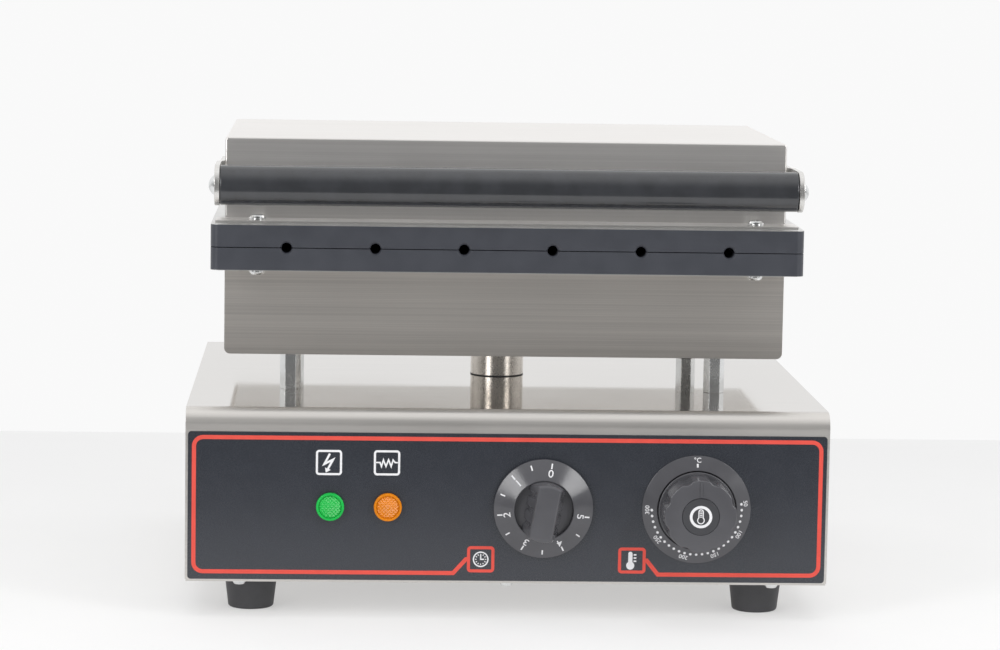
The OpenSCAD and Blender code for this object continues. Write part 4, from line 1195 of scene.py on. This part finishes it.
@dataclass
class TimerDial:
    """Timer knob with a printed skirt and a finger bar.

    The grooves in the bar are given as half their width and their spacing, and the marks by their ends.
    """

    frame: PackedFrame
    rest_turn: float = -10.0
    rim_h: float = 2.5 * MM
    cone_h: float = 8.5 * MM
    floor_h: float = 5 * MM
    well_r: float = 17 * MM
    wall: float = 5 * MM
    hub_r: float = 6 * MM
    edge: float = 0.5 * MM
    bar_foot: float = 21.4 * MM
    bar_top: float = 13 * MM
    bar_edge: float = 1.4 * MM
    bar_cuts: int = 63
    end_round: float = 2.6 * MM
    end_start: float = 10.0
    groove: Point = (1.6 * MM, 8 * MM)
    groove_depth: float = 1.6 * MM
    first_mark: float = 90.0
    mark_step: float = 54.0
    last_figure: int = 5
    print_inset: float = 6.2 * MM
    figure_h: float = 4.6 * MM
    figure_drop: float = 1.6 * MM
    figure_weight: float = 0.04 * MM
    long_mark: Point = (1.6 * MM, 5 * MM)
    long_w: float = 0.85 * MM
    short_mark: Point = (1.2 * MM, 4.4 * MM)
    short_w: float = 0.8 * MM
    radius: float = field(init=False)
    height: float = field(init=False)
    seat: Matrix = field(init=False)
    cone: DialCone = field(init=False)

    def build(self) -> None:
        """Builds the knob and its figures."""
        low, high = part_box("timer_knob")
        axis = self.frame.axis_point("timer_turn")
        self.radius, self.height = (high.x - low.x) / 2, high.y - low.y
        self.seat = on_panel(axis.x, high.y, axis.z, self.rest_turn)
        knob = merge([self.skirt(), self.finger_bar()])
        add_piece("timer_knob_piece", place(knob, self.seat), KNOB_PLASTIC, Body.TIMER, ["timer_knob"])
        self.figures()
        self.frame.dress(["timer_shaft"], BRASS)

    def skirt(self) -> BMesh:
        """Turns the cone with its well and the hollow under it.

        Returns:
            The skirt, standing on Z = 0.
        """
        edge, hollow_r, hub_r = self.edge, self.radius - self.wall, self.hub_r
        lip_r, rim_r = self.well_r + edge, self.radius - edge
        fall = math.degrees(math.atan2(self.cone_h - self.rim_h, rim_r - lip_r))
        self.cone = DialCone(arc((rim_r, self.rim_h - edge), edge, 90 - fall, 90)[0], fall)
        profile = [(0, 0), (hub_r, 0), (hub_r, HOLLOW_H), (hollow_r, HOLLOW_H), (hollow_r, 0), (rim_r, 0)]
        profile += arc((rim_r, edge), edge, -90, 0)
        profile += arc((rim_r, self.rim_h - edge), edge, 0, 90 - fall)
        profile += arc((lip_r, self.cone_h - edge), edge, 90 - fall, 180)
        profile += arc((self.well_r - edge, self.floor_h + edge), edge, 0, -90)
        return lathe(profile + [(0, self.floor_h)], steps=96)

    def finger_bar(self) -> BMesh:
        """Makes the bar from a disc cut to two flats, with grooves in its flanks.

        Returns:
            The bar, standing in the well.
        """
        bar, flat_x = bmesh.new(), self.bar_foot / 2
        bmesh.ops.create_circle(bar, cap_ends=True, segments=96, radius=self.well_r)
        for side in (-1, 1):
            bmesh.ops.bisect_plane(
                bar, geom=bar.verts[:] + bar.edges[:] + bar.faces[:],
                plane_co=(side * flat_x, 0, 0), plane_no=(side, 0, 0), clear_outer=True,
            )
        flanks = [e for e in bar.edges if all(abs(abs(v.co.x) - flat_x) < MERGE for v in e.verts)]
        bmesh.ops.subdivide_edges(bar, edges=flanks, cuts=self.bar_cuts)
        across, along = (bar.verts.layers.float.new(name) for name in ("across", "along"))
        for vert in bar.verts:
            vert[across], vert[along] = vert.co.x, vert.co.y
        self.raise_bar(bar, across, along)
        bmesh.ops.recalc_face_normals(bar, faces=bar.faces)
        bmesh.ops.translate(bar, verts=bar.verts, vec=(0, 0, self.floor_h))
        return bar

    def raise_bar(self, bar: BMesh, across: Layer, along: Layer) -> None:
        """Draws the bar's foot up, level by level, to a narrower top with rounded ends.

        Args:
            bar: The flat foot of the bar, at Z = 0.
            across: Layer with each point's X at the foot.
            along: Layer with each point's Y at the foot.
        """
        rise, big, small = self.height - self.floor_h, self.end_round, self.bar_edge
        foot_x, top_x = self.bar_foot / 2, self.bar_top / 2
        corner = math.sqrt(self.well_r**2 - foot_x**2)
        levels = [(0.0, 0.0), (0.0, rise - big)]
        levels += [(big - out, rise - big + up) for out, up in arc((0, 0), big, self.end_start, 90, 8)]
        top, verts = bar.faces[:], bar.verts[:]
        for inset, height in levels:
            over = max(0.0, height - rise + small) / small
            half = foot_x + (top_x - foot_x) * height / rise - small * (1 - math.sqrt(1 - over * over))
            length = 1 - inset / self.well_r
            depth = self.groove_depth * max(0.0, 1 - height / (rise - big))
            for vert in verts:
                x, y = vert[across], vert[along]
                if abs(abs(x) - foot_x) < MERGE:
                    off = min(abs(y - i * self.groove[1]) for i in (-1, 0, 1)) / self.groove[0]
                    x = math.copysign(half - depth * math.sqrt(max(0.0, 1 - off * off)), x)
                    y *= math.sqrt(self.well_r**2 - half**2) / corner
                else:
                    x *= half / foot_x
                    y = math.copysign(math.sqrt(self.well_r**2 - x**2), y)
                vert.co = (x, y * length, height)
            if height < rise - MERGE:
                grown = bmesh.ops.extrude_face_region(bar, geom=top)["geom"]
                top, verts = only(bmesh.types.BMFace, grown), only(bmesh.types.BMVert, grown)

    def figures(self) -> None:
        """Prints 0 to 5 on the cone, with a long mark at each figure and a short one between."""
        parts = []
        for i in range(2 * self.last_figure + 1):
            ink = Ink()
            if i % 2 == 0:
                ink.line([(0, end) for end in self.long_mark], self.long_w)
                spot = Matrix.Translation((0, -self.figure_drop, 0))
                ink.text(str(i // 2), self.figure_h, spot, self.figure_weight)
            else:
                ink.line([(0, end) for end in self.short_mark], self.short_w)
            angle = self.first_mark + i * self.mark_step / 2
            parts.append(self.cone.lay(ink, angle, self.radius - self.print_inset))
        add_piece("timer_figures", place(merge(parts), self.seat), DIAL_INK, Body.TIMER)


@dataclass
class ThermostatDial:
    """Thermostat knob with flutes, a sunk cap with its sign, and the fixed scale ring behind.

    The pointer's ridge is given as its width, half its height and its rise over the knob's top.
    """

    frame: PackedFrame
    flange_h: float = 4 * MM
    flange_w: float = 0.6 * MM
    flange_edge: float = 0.6 * MM
    flange_lap: float = 4 * MM
    wall: float = 3.5 * MM
    taper: float = 0.9 * MM
    flutes: int = 8
    flute_r: float = 5 * MM
    flute_depth: float = 2.1 * MM
    top_round: float = 0.9 * MM
    ridge: Spot = (1.6 * MM, 0.6 * MM, 0.4 * MM)
    ridge_gap: float = 0.8 * MM
    ridge_edge: float = 0.2 * MM
    sides: int = 192
    cap_gap: float = 0.1 * MM
    cap_edge: float = 0.3 * MM
    cap_ring: Point = (6.5 * MM, 4.9 * MM)
    cap_bulb: Point = (0, -2 * MM)
    cap_sign: Spot = (1.9 * MM, 1.25 * MM, 5.0 * MM)
    cap_sign_w: float = 0.6 * MM
    cap_degrees: int = 4
    cap_degree: Point = (1.4 * MM, 0.5 * MM)
    ring_gap: float = 0.6 * MM
    ring_rim: float = 1 * MM
    ring_edge: float = 0.4 * MM
    first_figure: float = 8.0
    figure_step: float = 37.5
    figure_values: Sequence[int] = (50, 100, 150, 200, 250, 300)
    figure_inset: float = 3.1 * MM
    figure_h: float = 2.5 * MM
    figure_weight: float = 0.03 * MM
    dot_share: int = 5
    dot_inset: float = 5.5 * MM
    dot_r: float = 0.8 * MM
    unit_angle: float = 90.0
    unit_inset: float = 4.2 * MM
    unit_h: float = 2.8 * MM
    unit_rise: float = 1.6 * MM
    unit_weight: float = 0.04 * MM
    unit_mark: Point = (-2.6 * MM, -0.4 * MM)
    unit_mark_w: float = 1.1 * MM
    radius: float = field(init=False)
    height: float = field(init=False)
    cap_r: float = field(init=False)
    cap_seat: float = field(init=False)
    panel: Matrix = field(init=False)
    seat: Matrix = field(init=False)

    def build(self) -> None:
        """Builds the ring with its scale, the knob and the cap."""
        low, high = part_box("thermostat_knob")
        axis = self.frame.axis_point("thermostat_turn")
        self.radius, self.height = (high.x - low.x) / 2, high.y - low.y - self.ridge[2]
        self.cap_r = self.frame.size("thermostat_knob_cap").x / 2
        self.cap_seat = high.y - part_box("thermostat_knob_cap")[1].y
        self.panel = on_panel(axis.x, axis.y, axis.z)
        self.seat = on_panel(axis.x, high.y, axis.z)
        self.scale_ring()
        knob = place(merge([self.flange(), self.fluted_body(), self.pointer()]), self.seat)
        add_piece("thermostat_knob_piece", knob, KNOB_PLASTIC, Body.THERMOSTAT, ["thermostat_knob"])
        self.cap()
        self.frame.dress(["thermostat_shaft"], BRASS)

    def scale_ring(self) -> None:
        """Turns the cone of the ring with its rounded edges, and prints the scale on it."""
        size = self.frame.size("thermostat_bezel_ring")
        outer, height, inner, edge = size.x / 2, size.y, self.radius + self.ring_gap, self.ring_edge
        fall = math.degrees(math.atan2(height - self.ring_rim, outer - inner - 2 * edge))
        profile = [(inner, 0), (outer, 0)]
        profile += arc((outer - edge, self.ring_rim - edge), edge, 0, 90 - fall)
        cone = DialCone(profile[-1], fall)
        profile += arc((inner + edge, height - edge), edge, 90 - fall, 180)
        ring = place(lathe(profile + [(inner, 0)], steps=128), self.panel)
        add_piece("thermostat_ring_piece", ring, KNOB_PLASTIC, Body.BASE, ["thermostat_bezel_ring"])
        self.scale_print(cone, outer)

    def scale_print(self, cone: DialCone, outer: float) -> None:
        """Prints the scale: figures, a dot at each and four between, and the unit at the off place.

        Args:
            cone: The cone that carries the scale.
            outer: Outer radius of the ring.
        """
        parts = []
        for i, value in enumerate(self.figure_values):
            ink = Ink()
            ink.text(str(value), self.figure_h, Matrix(), self.figure_weight)
            angle = self.first_figure - i * self.figure_step
            parts.append(cone.lay(ink, angle, outer - self.figure_inset))
        for i in range(self.dot_share * (len(self.figure_values) - 1) + 1):
            ink = Ink()
            ink.ring((0, 0), self.dot_r, steps=16)
            angle = self.first_figure - i * self.figure_step / self.dot_share
            parts.append(cone.lay(ink, angle, outer - self.dot_inset))
        ink = Ink()
        ink.text("\u00b0C", self.unit_h, Matrix.Translation((0, self.unit_rise, 0)), self.unit_weight)
        ink.line([(0, end) for end in self.unit_mark], self.unit_mark_w)
        parts.append(cone.lay(ink, self.unit_angle, outer - self.unit_inset))
        add_piece("thermostat_scale_print", place(merge(parts), self.panel), DIAL_INK, Body.BASE)

    def flange(self) -> BMesh:
        """Turns the knob's foot with its round edge.

        Returns:
            The foot, standing on Z = 0.
        """
        edge, inner = self.flange_edge, self.radius - self.wall
        lap = inner - self.flange_lap
        profile = [(inner, HOLLOW_H), (inner, 0), (self.radius - edge, 0)]
        profile += arc((self.radius - edge, edge), edge, -90, 0)
        profile += arc((self.radius - edge, self.flange_h - edge), edge, 0, 90)
        profile += [(lap, self.flange_h), (lap, HOLLOW_H), (inner, HOLLOW_H)]
        return lathe(profile, steps=96)

    def outline_radius(self, angle: float, height: float) -> float:
        """Gives the body's radius at an angle and a height, less in a flute.

        Args:
            angle: Angle round the knob, in radians.
            height: Height over the knob's foot.

        Returns:
            The radius.
        """
        foot_r = self.radius - self.flange_w
        body_r = foot_r - self.taper * height / self.height
        centre = foot_r + self.flute_r - self.flute_depth
        pitch = FULL_TURN / self.flutes
        off = (angle % pitch) - pitch / 2
        room = self.flute_r**2 - (centre * math.sin(off)) ** 2
        return body_r if room <= 0 else min(body_r, centre * math.cos(off) - math.sqrt(room))

    def fluted_body(self) -> BMesh:
        """Draws the fluted body up ring by ring and sinks its top for the cap.

        Returns:
            The body, open below the foot's top.
        """
        body, edge, rim, top = bmesh.new(), self.top_round, self.cap_r + self.cap_gap, self.height
        levels = [(self.flange_h, 0.0, None), (0.5 * top, 0.0, None)]
        levels += [(top - edge + up, edge - out, None) for out, up in arc((0, 0), edge, 0, 90, 5)]
        levels += [(top, 0.0, rim + edge / 2), (top - edge / 2, 0.0, rim), (self.cap_seat, 0.0, rim)]
        bmesh.ops.create_circle(body, cap_ends=False, segments=self.sides, radius=self.radius)
        verts = body.verts[:]
        edges = body.edges[:]
        for height, inset, fixed in levels:
            for vert in verts:
                angle = math.atan2(vert.co.y, vert.co.x)
                radius = fixed or self.outline_radius(angle, height) - inset
                vert.co = (radius * math.cos(angle), radius * math.sin(angle), height)
            grown = bmesh.ops.extrude_edge_only(body, edges=edges)["geom"]
            verts = only(bmesh.types.BMVert, grown)
            edges = [part for part in only(bmesh.types.BMEdge, grown) if part.is_boundary]
        bmesh.ops.delete(body, geom=verts, context="VERTS")
        bmesh.ops.recalc_face_normals(body, faces=body.faces)
        return body

    def pointer(self) -> BMesh:
        """Makes the low ridge from the cap to the top of the knob.

        Returns:
            The ridge, on the knob's top.
        """
        width, half, rise = self.ridge
        start = self.cap_r + self.ridge_gap
        stop = self.radius - self.flange_w - self.taper - self.top_round
        ridge = bmesh.new()
        bmesh.ops.create_cube(ridge, size=1.0)
        bmesh.ops.scale(ridge, verts=ridge.verts, vec=(width, stop - start, 2 * half))
        middle = (0, (start + stop) / 2, self.height + rise - half)
        bmesh.ops.translate(ridge, verts=ridge.verts, vec=middle)
        soften(ridge, [e for e in ridge.edges if all(v.co.z > self.height for v in e.verts)], self.ridge_edge)
        return ridge

    def cap(self) -> None:
        """Turns the cap and prints a ring with a thermometer on it."""
        seat = self.seat @ Matrix.Translation((0, 0, self.cap_seat))
        height, edge = self.frame.size("thermostat_knob_cap").y, self.cap_edge
        profile = [(0, 0), (self.cap_r, 0)] + arc((self.cap_r - edge, height - edge), edge, 0, 90)
        cap = place(lathe(profile + [(0, height)], steps=72), seat)
        add_piece("thermostat_cap_piece", cap, CAP_PLASTIC, Body.THERMOSTAT, ["thermostat_knob_cap"])
        ink, (length, width) = Ink(), self.cap_degree
        ink.ring((0, 0), *self.cap_ring, steps=48)
        ink.line(thermometer_outline(self.cap_bulb, *self.cap_sign), self.cap_sign_w, closed=True)
        for i in range(self.cap_degrees):
            ink.line([(-length / 2, i * MM), (length / 2, i * MM)], width)
        printed = ink.finish(seat @ Matrix.Translation((0, 0, height - INK_SUNK)))
        add_piece("thermostat_cap_print", printed, DIAL_INK, Body.THERMOSTAT)


@dataclass
class CookingHead:
    """Posts, conduit tube, lower housing, lower mould plate and hinge pins."""

    frame: PackedFrame
    sheet_edge: float = 0.35 * MM
    post_edge: float = 0.4 * MM
    screw_edge: float = 0.25 * MM
    gland_edge: float = 0.3 * MM
    tube_edge: float = 0.4 * MM
    shoulder: float = 2.5 * MM
    bore_inset: float = 4 * MM
    # Black ring at the tube's foot, painted shade for the gap there: its reach past the tube and its
    # thickness
    seal_lip: float = 0.1 * MM
    seal_t: float = 0.6 * MM

    def build(self) -> None:
        """Builds the fixed pieces of the head."""
        self.frame.soft_copy("lower_housing", HOUSING_STEEL, Body.BASE, self.sheet_edge)
        self.frame.plate_copy("lower_plate", Body.BASE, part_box("lower_housing")[1].z)
        for corner in CORNERS:
            self.frame.soft_copy(f"post_{corner}", ZINC, Body.BASE, self.post_edge)
        self.tube()
        self.frame.soft_copy("lower_plate_screws", ZINC, Body.BASE, self.screw_edge)
        self.frame.soft_copy("lower_lead_gland", GLAND_NYLON, Body.BASE, self.gland_edge)
        for side in SIDES:
            self.frame.soft_copy(f"hinge_pin_{side}", ZINC, Body.BASE, self.post_edge)
        self.frame.dress(["pin_clips"], SPRING_STEEL)

    def tube(self) -> None:
        """Turns the conduit tube with its necks and slightly round shoulders, and a black ring at its foot
        that paints the shadow of the gap there.
        """
        low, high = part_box("conduit_tube")
        middle, radius = (low + high) / 2, (high.x - low.x) / 2
        foot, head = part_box("base_shell")[1].z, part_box("lower_housing")[0].z
        neck_r, bore_r, edge = radius - self.shoulder, radius - self.bore_inset, self.tube_edge
        profile = [(bore_r, low.z), (neck_r, low.z), (neck_r, foot)]
        profile += arc((radius - edge, foot + edge), edge, -90, 0)
        profile += arc((radius - edge, head - edge), edge, 0, 90)
        profile += [(neck_r, head), (neck_r, high.z), (bore_r, high.z), (bore_r, low.z)]
        tube = place(lathe(profile, steps=80), Matrix.Translation((middle.x, middle.y, 0)))
        add_piece("conduit_tube_piece", tube, TUBE_STEEL, Body.BASE, ["conduit_tube"])
        # Painted shade: a thin black rubber ring at the tube's foot stands in for the shadow in the gap
        # between the tube and the base top.
        shadow_ring_r, thick = radius + self.seal_lip, self.seal_t
        rim = [(neck_r, 0), (shadow_ring_r, 0), (shadow_ring_r, thick), (neck_r, thick), (neck_r, 0)]
        shadow_ring = place(lathe(rim, steps=80), Matrix.Translation((middle.x, middle.y, foot)))
        add_piece("conduit_shadow_ring_piece", shadow_ring, RUBBER, Body.BASE)


@dataclass
class Lid:
    """Lid housing, upper mould plate and the bar handle with its straps."""

    frame: PackedFrame
    sheet_edge: float = 0.3 * MM
    fold: float = 1.2 * MM
    part_edge: float = 0.3 * MM
    arm_edge: float = 0.4 * MM
    grip_round: float = 1.2 * MM
    grip_bore: float = 2.6 * MM
    end_head_r: float = 6 * MM
    arm_head_r: float = 5 * MM
    head_share: float = 0.6
    head_limit: float = 3.6 * MM
    head_band: float = 0.2 * MM
    shank_r: float = 2.5 * MM
    socket_flats: float = 3 * MM
    socket_share: float = 0.45

    def build(self) -> None:
        """Builds the pieces that swing with the lid."""
        self.housing()
        self.frame.plate_copy("upper_plate", Body.LID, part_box("lid_housing")[0].z)
        self.frame.soft_copy("upper_plate_screws", ZINC, Body.LID, self.part_edge)
        self.frame.soft_copy("lid_lead_gland", GLAND_NYLON, Body.LID, self.part_edge)
        for side in SIDES:
            self.frame.soft_copy(f"handle_arm_{side}", STRAP_STEEL, Body.LID, self.arm_edge)
        self.grip()
        self.dome_screws("handle_end_screws", self.end_head_r)
        self.dome_screws("arm_screws", self.arm_head_r)

    def housing(self) -> None:
        """Copies the lid with round folds all round its front face."""
        copy = self.frame.mesh_of("lid_housing")
        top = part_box("lid_housing")[1].z
        front = min(v.co.y for v in copy.verts if v.co.z > top - self.fold)
        soften(copy, edges_in_plane(copy, 1, front), self.fold, FOLD_STEPS)
        soften(copy, sharp_edges(copy), self.sheet_edge)
        add_piece("lid_housing_piece", copy, LID_STEEL, Body.LID, ["lid_housing"])

    def grip(self) -> None:
        """Turns the grip bar with round ends."""
        low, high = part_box("handle_grip")
        middle, radius, half = (low + high) / 2, (high.z - low.z) / 2, (high.x - low.x) / 2
        edge, bore_r = self.grip_round, self.grip_bore
        profile = [(bore_r, -half)] + arc((radius - edge, edge - half), edge, -90, 0)
        profile += arc((radius - edge, half - edge), edge, 0, 90) + [(bore_r, half), (bore_r, -half)]
        grip = place(lathe(profile, steps=96), Matrix.Translation(middle) @ turn_about("Y", 90))
        add_piece("handle_grip_piece", grip, GRIP_PLASTIC, Body.LID, ["handle_grip"])

    def dome_screws(self, node: str, head_r: float) -> None:
        """Turns domed screws with hexagonal sockets in place of a node of screws.

        Args:
            node: Name of the node.
            head_r: Radius of a head.
        """
        low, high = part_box(node)
        reach, axis_z = max(abs(low.x), abs(high.x)), (low.z + high.z) / 2
        source = self.frame.mesh_of(node)
        tips = [v.co for v in source.verts if abs(v.co.x) > reach - self.head_band]
        seats = {(math.copysign(1, tip.x), round(tip.y, 3)) for tip in tips}
        inner = min(abs(v.co.x) for v in source.verts)
        source.free()
        dome_h = min(self.head_limit, head_r * self.head_share)
        screws = []
        for side, y in sorted(seats):
            seat = Matrix.Translation((side * (reach - dome_h), y, axis_z)) @ turn_about("Y", side * 90)
            screws.append(place(self.dome_screw(head_r, dome_h, reach - dome_h - inner), seat))
        add_piece(f"{node}_piece", merge(screws), ZINC, Body.LID, [node])

    def dome_screw(self, head_r: float, dome_h: float, length: float) -> BMesh:
        """Turns one domed screw and shapes its socket to a hexagon.

        Args:
            head_r: Radius of the head.
            dome_h: Height of the head.
            length: Length of the shank.

        Returns:
            The screw, with its head above Z = 0.
        """
        dome_r = (head_r**2 + dome_h**2) / (2 * dome_h)
        socket_r, shank_r = self.socket_flats / 2, self.shank_r
        socket_z = dome_h - dome_h * self.socket_share
        widest = math.degrees(math.asin(head_r / dome_r))
        narrow = math.degrees(math.asin(socket_r / dome_r))
        profile = [(0, -length), (shank_r, -length), (shank_r, 0)]
        profile += arc((0, dome_h - dome_r), dome_r, 90 - widest, 90 - narrow, 10)
        screw = lathe(profile + [(socket_r, socket_z), (0, socket_z)], steps=36)
        sector = FULL_TURN / 6
        for vert in screw.verts:
            reach = math.hypot(vert.co.x, vert.co.y)
            if abs(reach - socket_r) < MERGE and vert.co.z > 0:
                off = (math.atan2(vert.co.y, vert.co.x) % sector) - sector / 2
                vert.co.xy *= 1 / math.cos(off)
        return screw


@dataclass
class InnerWorks:
    """Pieces inside the base and the head, which keep their own meshes."""

    frame: PackedFrame

    def build(self) -> None:
        """Dresses the inner pieces."""
        self.frame.dress(["green_lamp_body", "amber_lamp_body"], WHITE_PLASTIC)
        self.frame.dress(["timer_unit", "thermostat_unit"], CASE_METAL)
        self.frame.dress(["control_screws", "terminal_screws", "post_bolts", "conduit_nuts"], ZINC)
        self.frame.dress(["lower_clamp_bolts", "upper_clamp_bolts"], ZINC)
        self.frame.dress(["lower_clamp_bars", "upper_clamp_bars"], TUBE_STEEL)
        self.frame.dress(["lower_element", "upper_element"], SHEATH)
        self.frame.dress(["lower_insulation", "upper_insulation"], FIBRE)
        self.frame.dress(["thermostat_bulb"], COPPER)
        self.frame.dress(["terminal_block"], CERAMIC)


@dataclass(frozen=True)
class Softbox:
    """A soft lamp: its place, the width and height of its face, its watts, and whether mirrors show it."""

    name: str
    where: Spot
    size: Point
    power: float
    mirrored: bool

    def hang(self, aim: Spot) -> None:
        """Hangs the lamp.

        Args:
            aim: Point that it looks at.
        """
        data = bpy.data.lights.new(self.name, "AREA")
        data.shape, data.energy = "RECTANGLE", self.power
        data.size, data.size_y = self.size
        lamp = put_in_scene(self.name, data)
        lamp.location = self.where
        lamp.visible_glossy = self.mirrored
        lamp.rotation_mode = "QUATERNION"
        lamp.rotation_quaternion = (Vector(aim) - Vector(self.where)).to_track_quat("-Z", "Y")


@dataclass
class Studio:
    """Pale floor, soft light and the camera of the photograph."""

    eye: Spot = (-0.09891, -2.12645, 0.39840)
    yaw: float = -2.70
    pitch: float = -6.54
    roll: float = 0.93
    lens: float = 122.97
    sensor: float = 36.0
    floor_rear: float = 0.57
    floor_front: float = -0.5
    floor_side: float = 3.0
    aim: Spot = (0, 0, 0.15)
    lamps: Sequence[Softbox] = (
        Softbox("left_light", (-1.1, -1.35, 0.75), (0.5, 0.9), 9.0, True),
        Softbox("right_light", (1.25, -1.2, 0.85), (0.5, 0.9), 9.0, True),
        Softbox("top_light", (0.0, -0.35, 2.0), (2.2, 1.8), 13.0, False),
    )
    backdrop: float = 0.95
    ambient: float = 0.58
    room: float = 0.2
    room_lift: float = 0.9
    room_band: Point = (-0.7, 0.8)
    under: float = 0.8
    under_band: Point = (-0.2, 0.0)
    rear_band: Point = (0.0, 0.3)
    strip: float = 0.7
    strip_x: float = 0.66
    strip_fade: Point = (0.02, 0.14)
    strip_band: Point = (-0.5, -0.3)

    def build(self) -> None:
        """Sets the stage."""
        self.floor()
        self.world()
        for lamp in self.lamps:
            lamp.hang(self.aim)
        self.camera()
        bpy.context.scene.view_settings.view_transform = "Standard"

    def floor(self) -> None:
        """Lays the pale table top."""
        sheet = bmesh.new()
        bmesh.ops.create_grid(sheet, x_segments=1, y_segments=1, size=1.0)
        depth = self.floor_rear - self.floor_front
        bmesh.ops.scale(sheet, verts=sheet.verts, vec=(self.floor_side, depth / 2, 1))
        bmesh.ops.translate(sheet, verts=sheet.verts, vec=(0, self.floor_front + depth / 2, 0))
        floor = put_in_scene("floor", as_mesh("floor", sheet))
        floor.data.materials.append(FLOOR_PAINT.material())

    def world(self) -> None:
        """Lights the room: a white backdrop, and for mirror images a grey room in front of the object."""
        world = bpy.data.worlds.new("studio")
        world.use_nodes = True
        bpy.context.scene.world = world
        board = NodeBoard(world.node_tree)
        x, y, z = board.axes(board.node("ShaderNodeTexCoord", {}).outputs["Generated"])
        lift = board.sum_up("ADD", y, board.sum_up("MULTIPLY", z, self.room_lift))
        ceiling = board.span(lift, self.room_band, (self.room, 1.0))
        under = board.span(z, self.under_band, (self.under, 1.0))
        below = board.mix(board.span(y, self.rear_band, (0.0, 1.0)), 1.0, under)
        room = board.sum_up("MULTIPLY", ceiling, below)
        off_middle = board.sum_up("SUBTRACT", board.sum_up("ABSOLUTE", x), self.strip_x)
        strip = board.span(board.sum_up("ABSOLUTE", off_middle), self.strip_fade, (self.strip, 0.0))
        in_front = board.sum_up("MULTIPLY", strip, board.span(y, self.strip_band, (1.0, 0.0)))
        mirrored = board.sum_up("MINIMUM", board.sum_up("ADD", room, in_front), 1.0)
        rays = board.node("ShaderNodeLightPath", {}).outputs
        shade = board.mix(rays["Is Glossy Ray"], self.ambient, mirrored)
        for ray in ("Is Transmission Ray", "Is Camera Ray"):
            shade = board.mix(rays[ray], shade, self.backdrop)
        board.tree.links.new(shade, board.tree.nodes["Background"].inputs["Color"])

    def camera(self) -> None:
        """Puts the camera where the photograph was taken from."""
        data = bpy.data.cameras.new("camera")
        data.lens, data.sensor_width, data.sensor_fit = self.lens, self.sensor, "HORIZONTAL"
        camera = put_in_scene("camera", data)
        matrix = Matrix.Translation(self.eye)
        for axis, degrees in (("X", 90.0), ("Y", self.yaw), ("X", self.pitch), ("Z", self.roll)):
            matrix = matrix @ turn_about(axis, degrees)
        camera.matrix_world = matrix
        bpy.context.scene.camera = camera


def main() -> None:
    """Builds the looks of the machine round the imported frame."""
    logging.basicConfig(level=logging.INFO, format="%(name)s %(message)s")
    for item in list(bpy.context.scene.objects):
        bpy.data.objects.remove(item)
    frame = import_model()
    packed = PackedFrame(frame["nodes"], frame["joints"])
    Studio().build()
    for group in (Cabinet, ControlPanel, TimerDial, ThermostatDial, CookingHead, Lid, InnerWorks):
        group(packed).build()


if __name__ == "__main__":
    main()
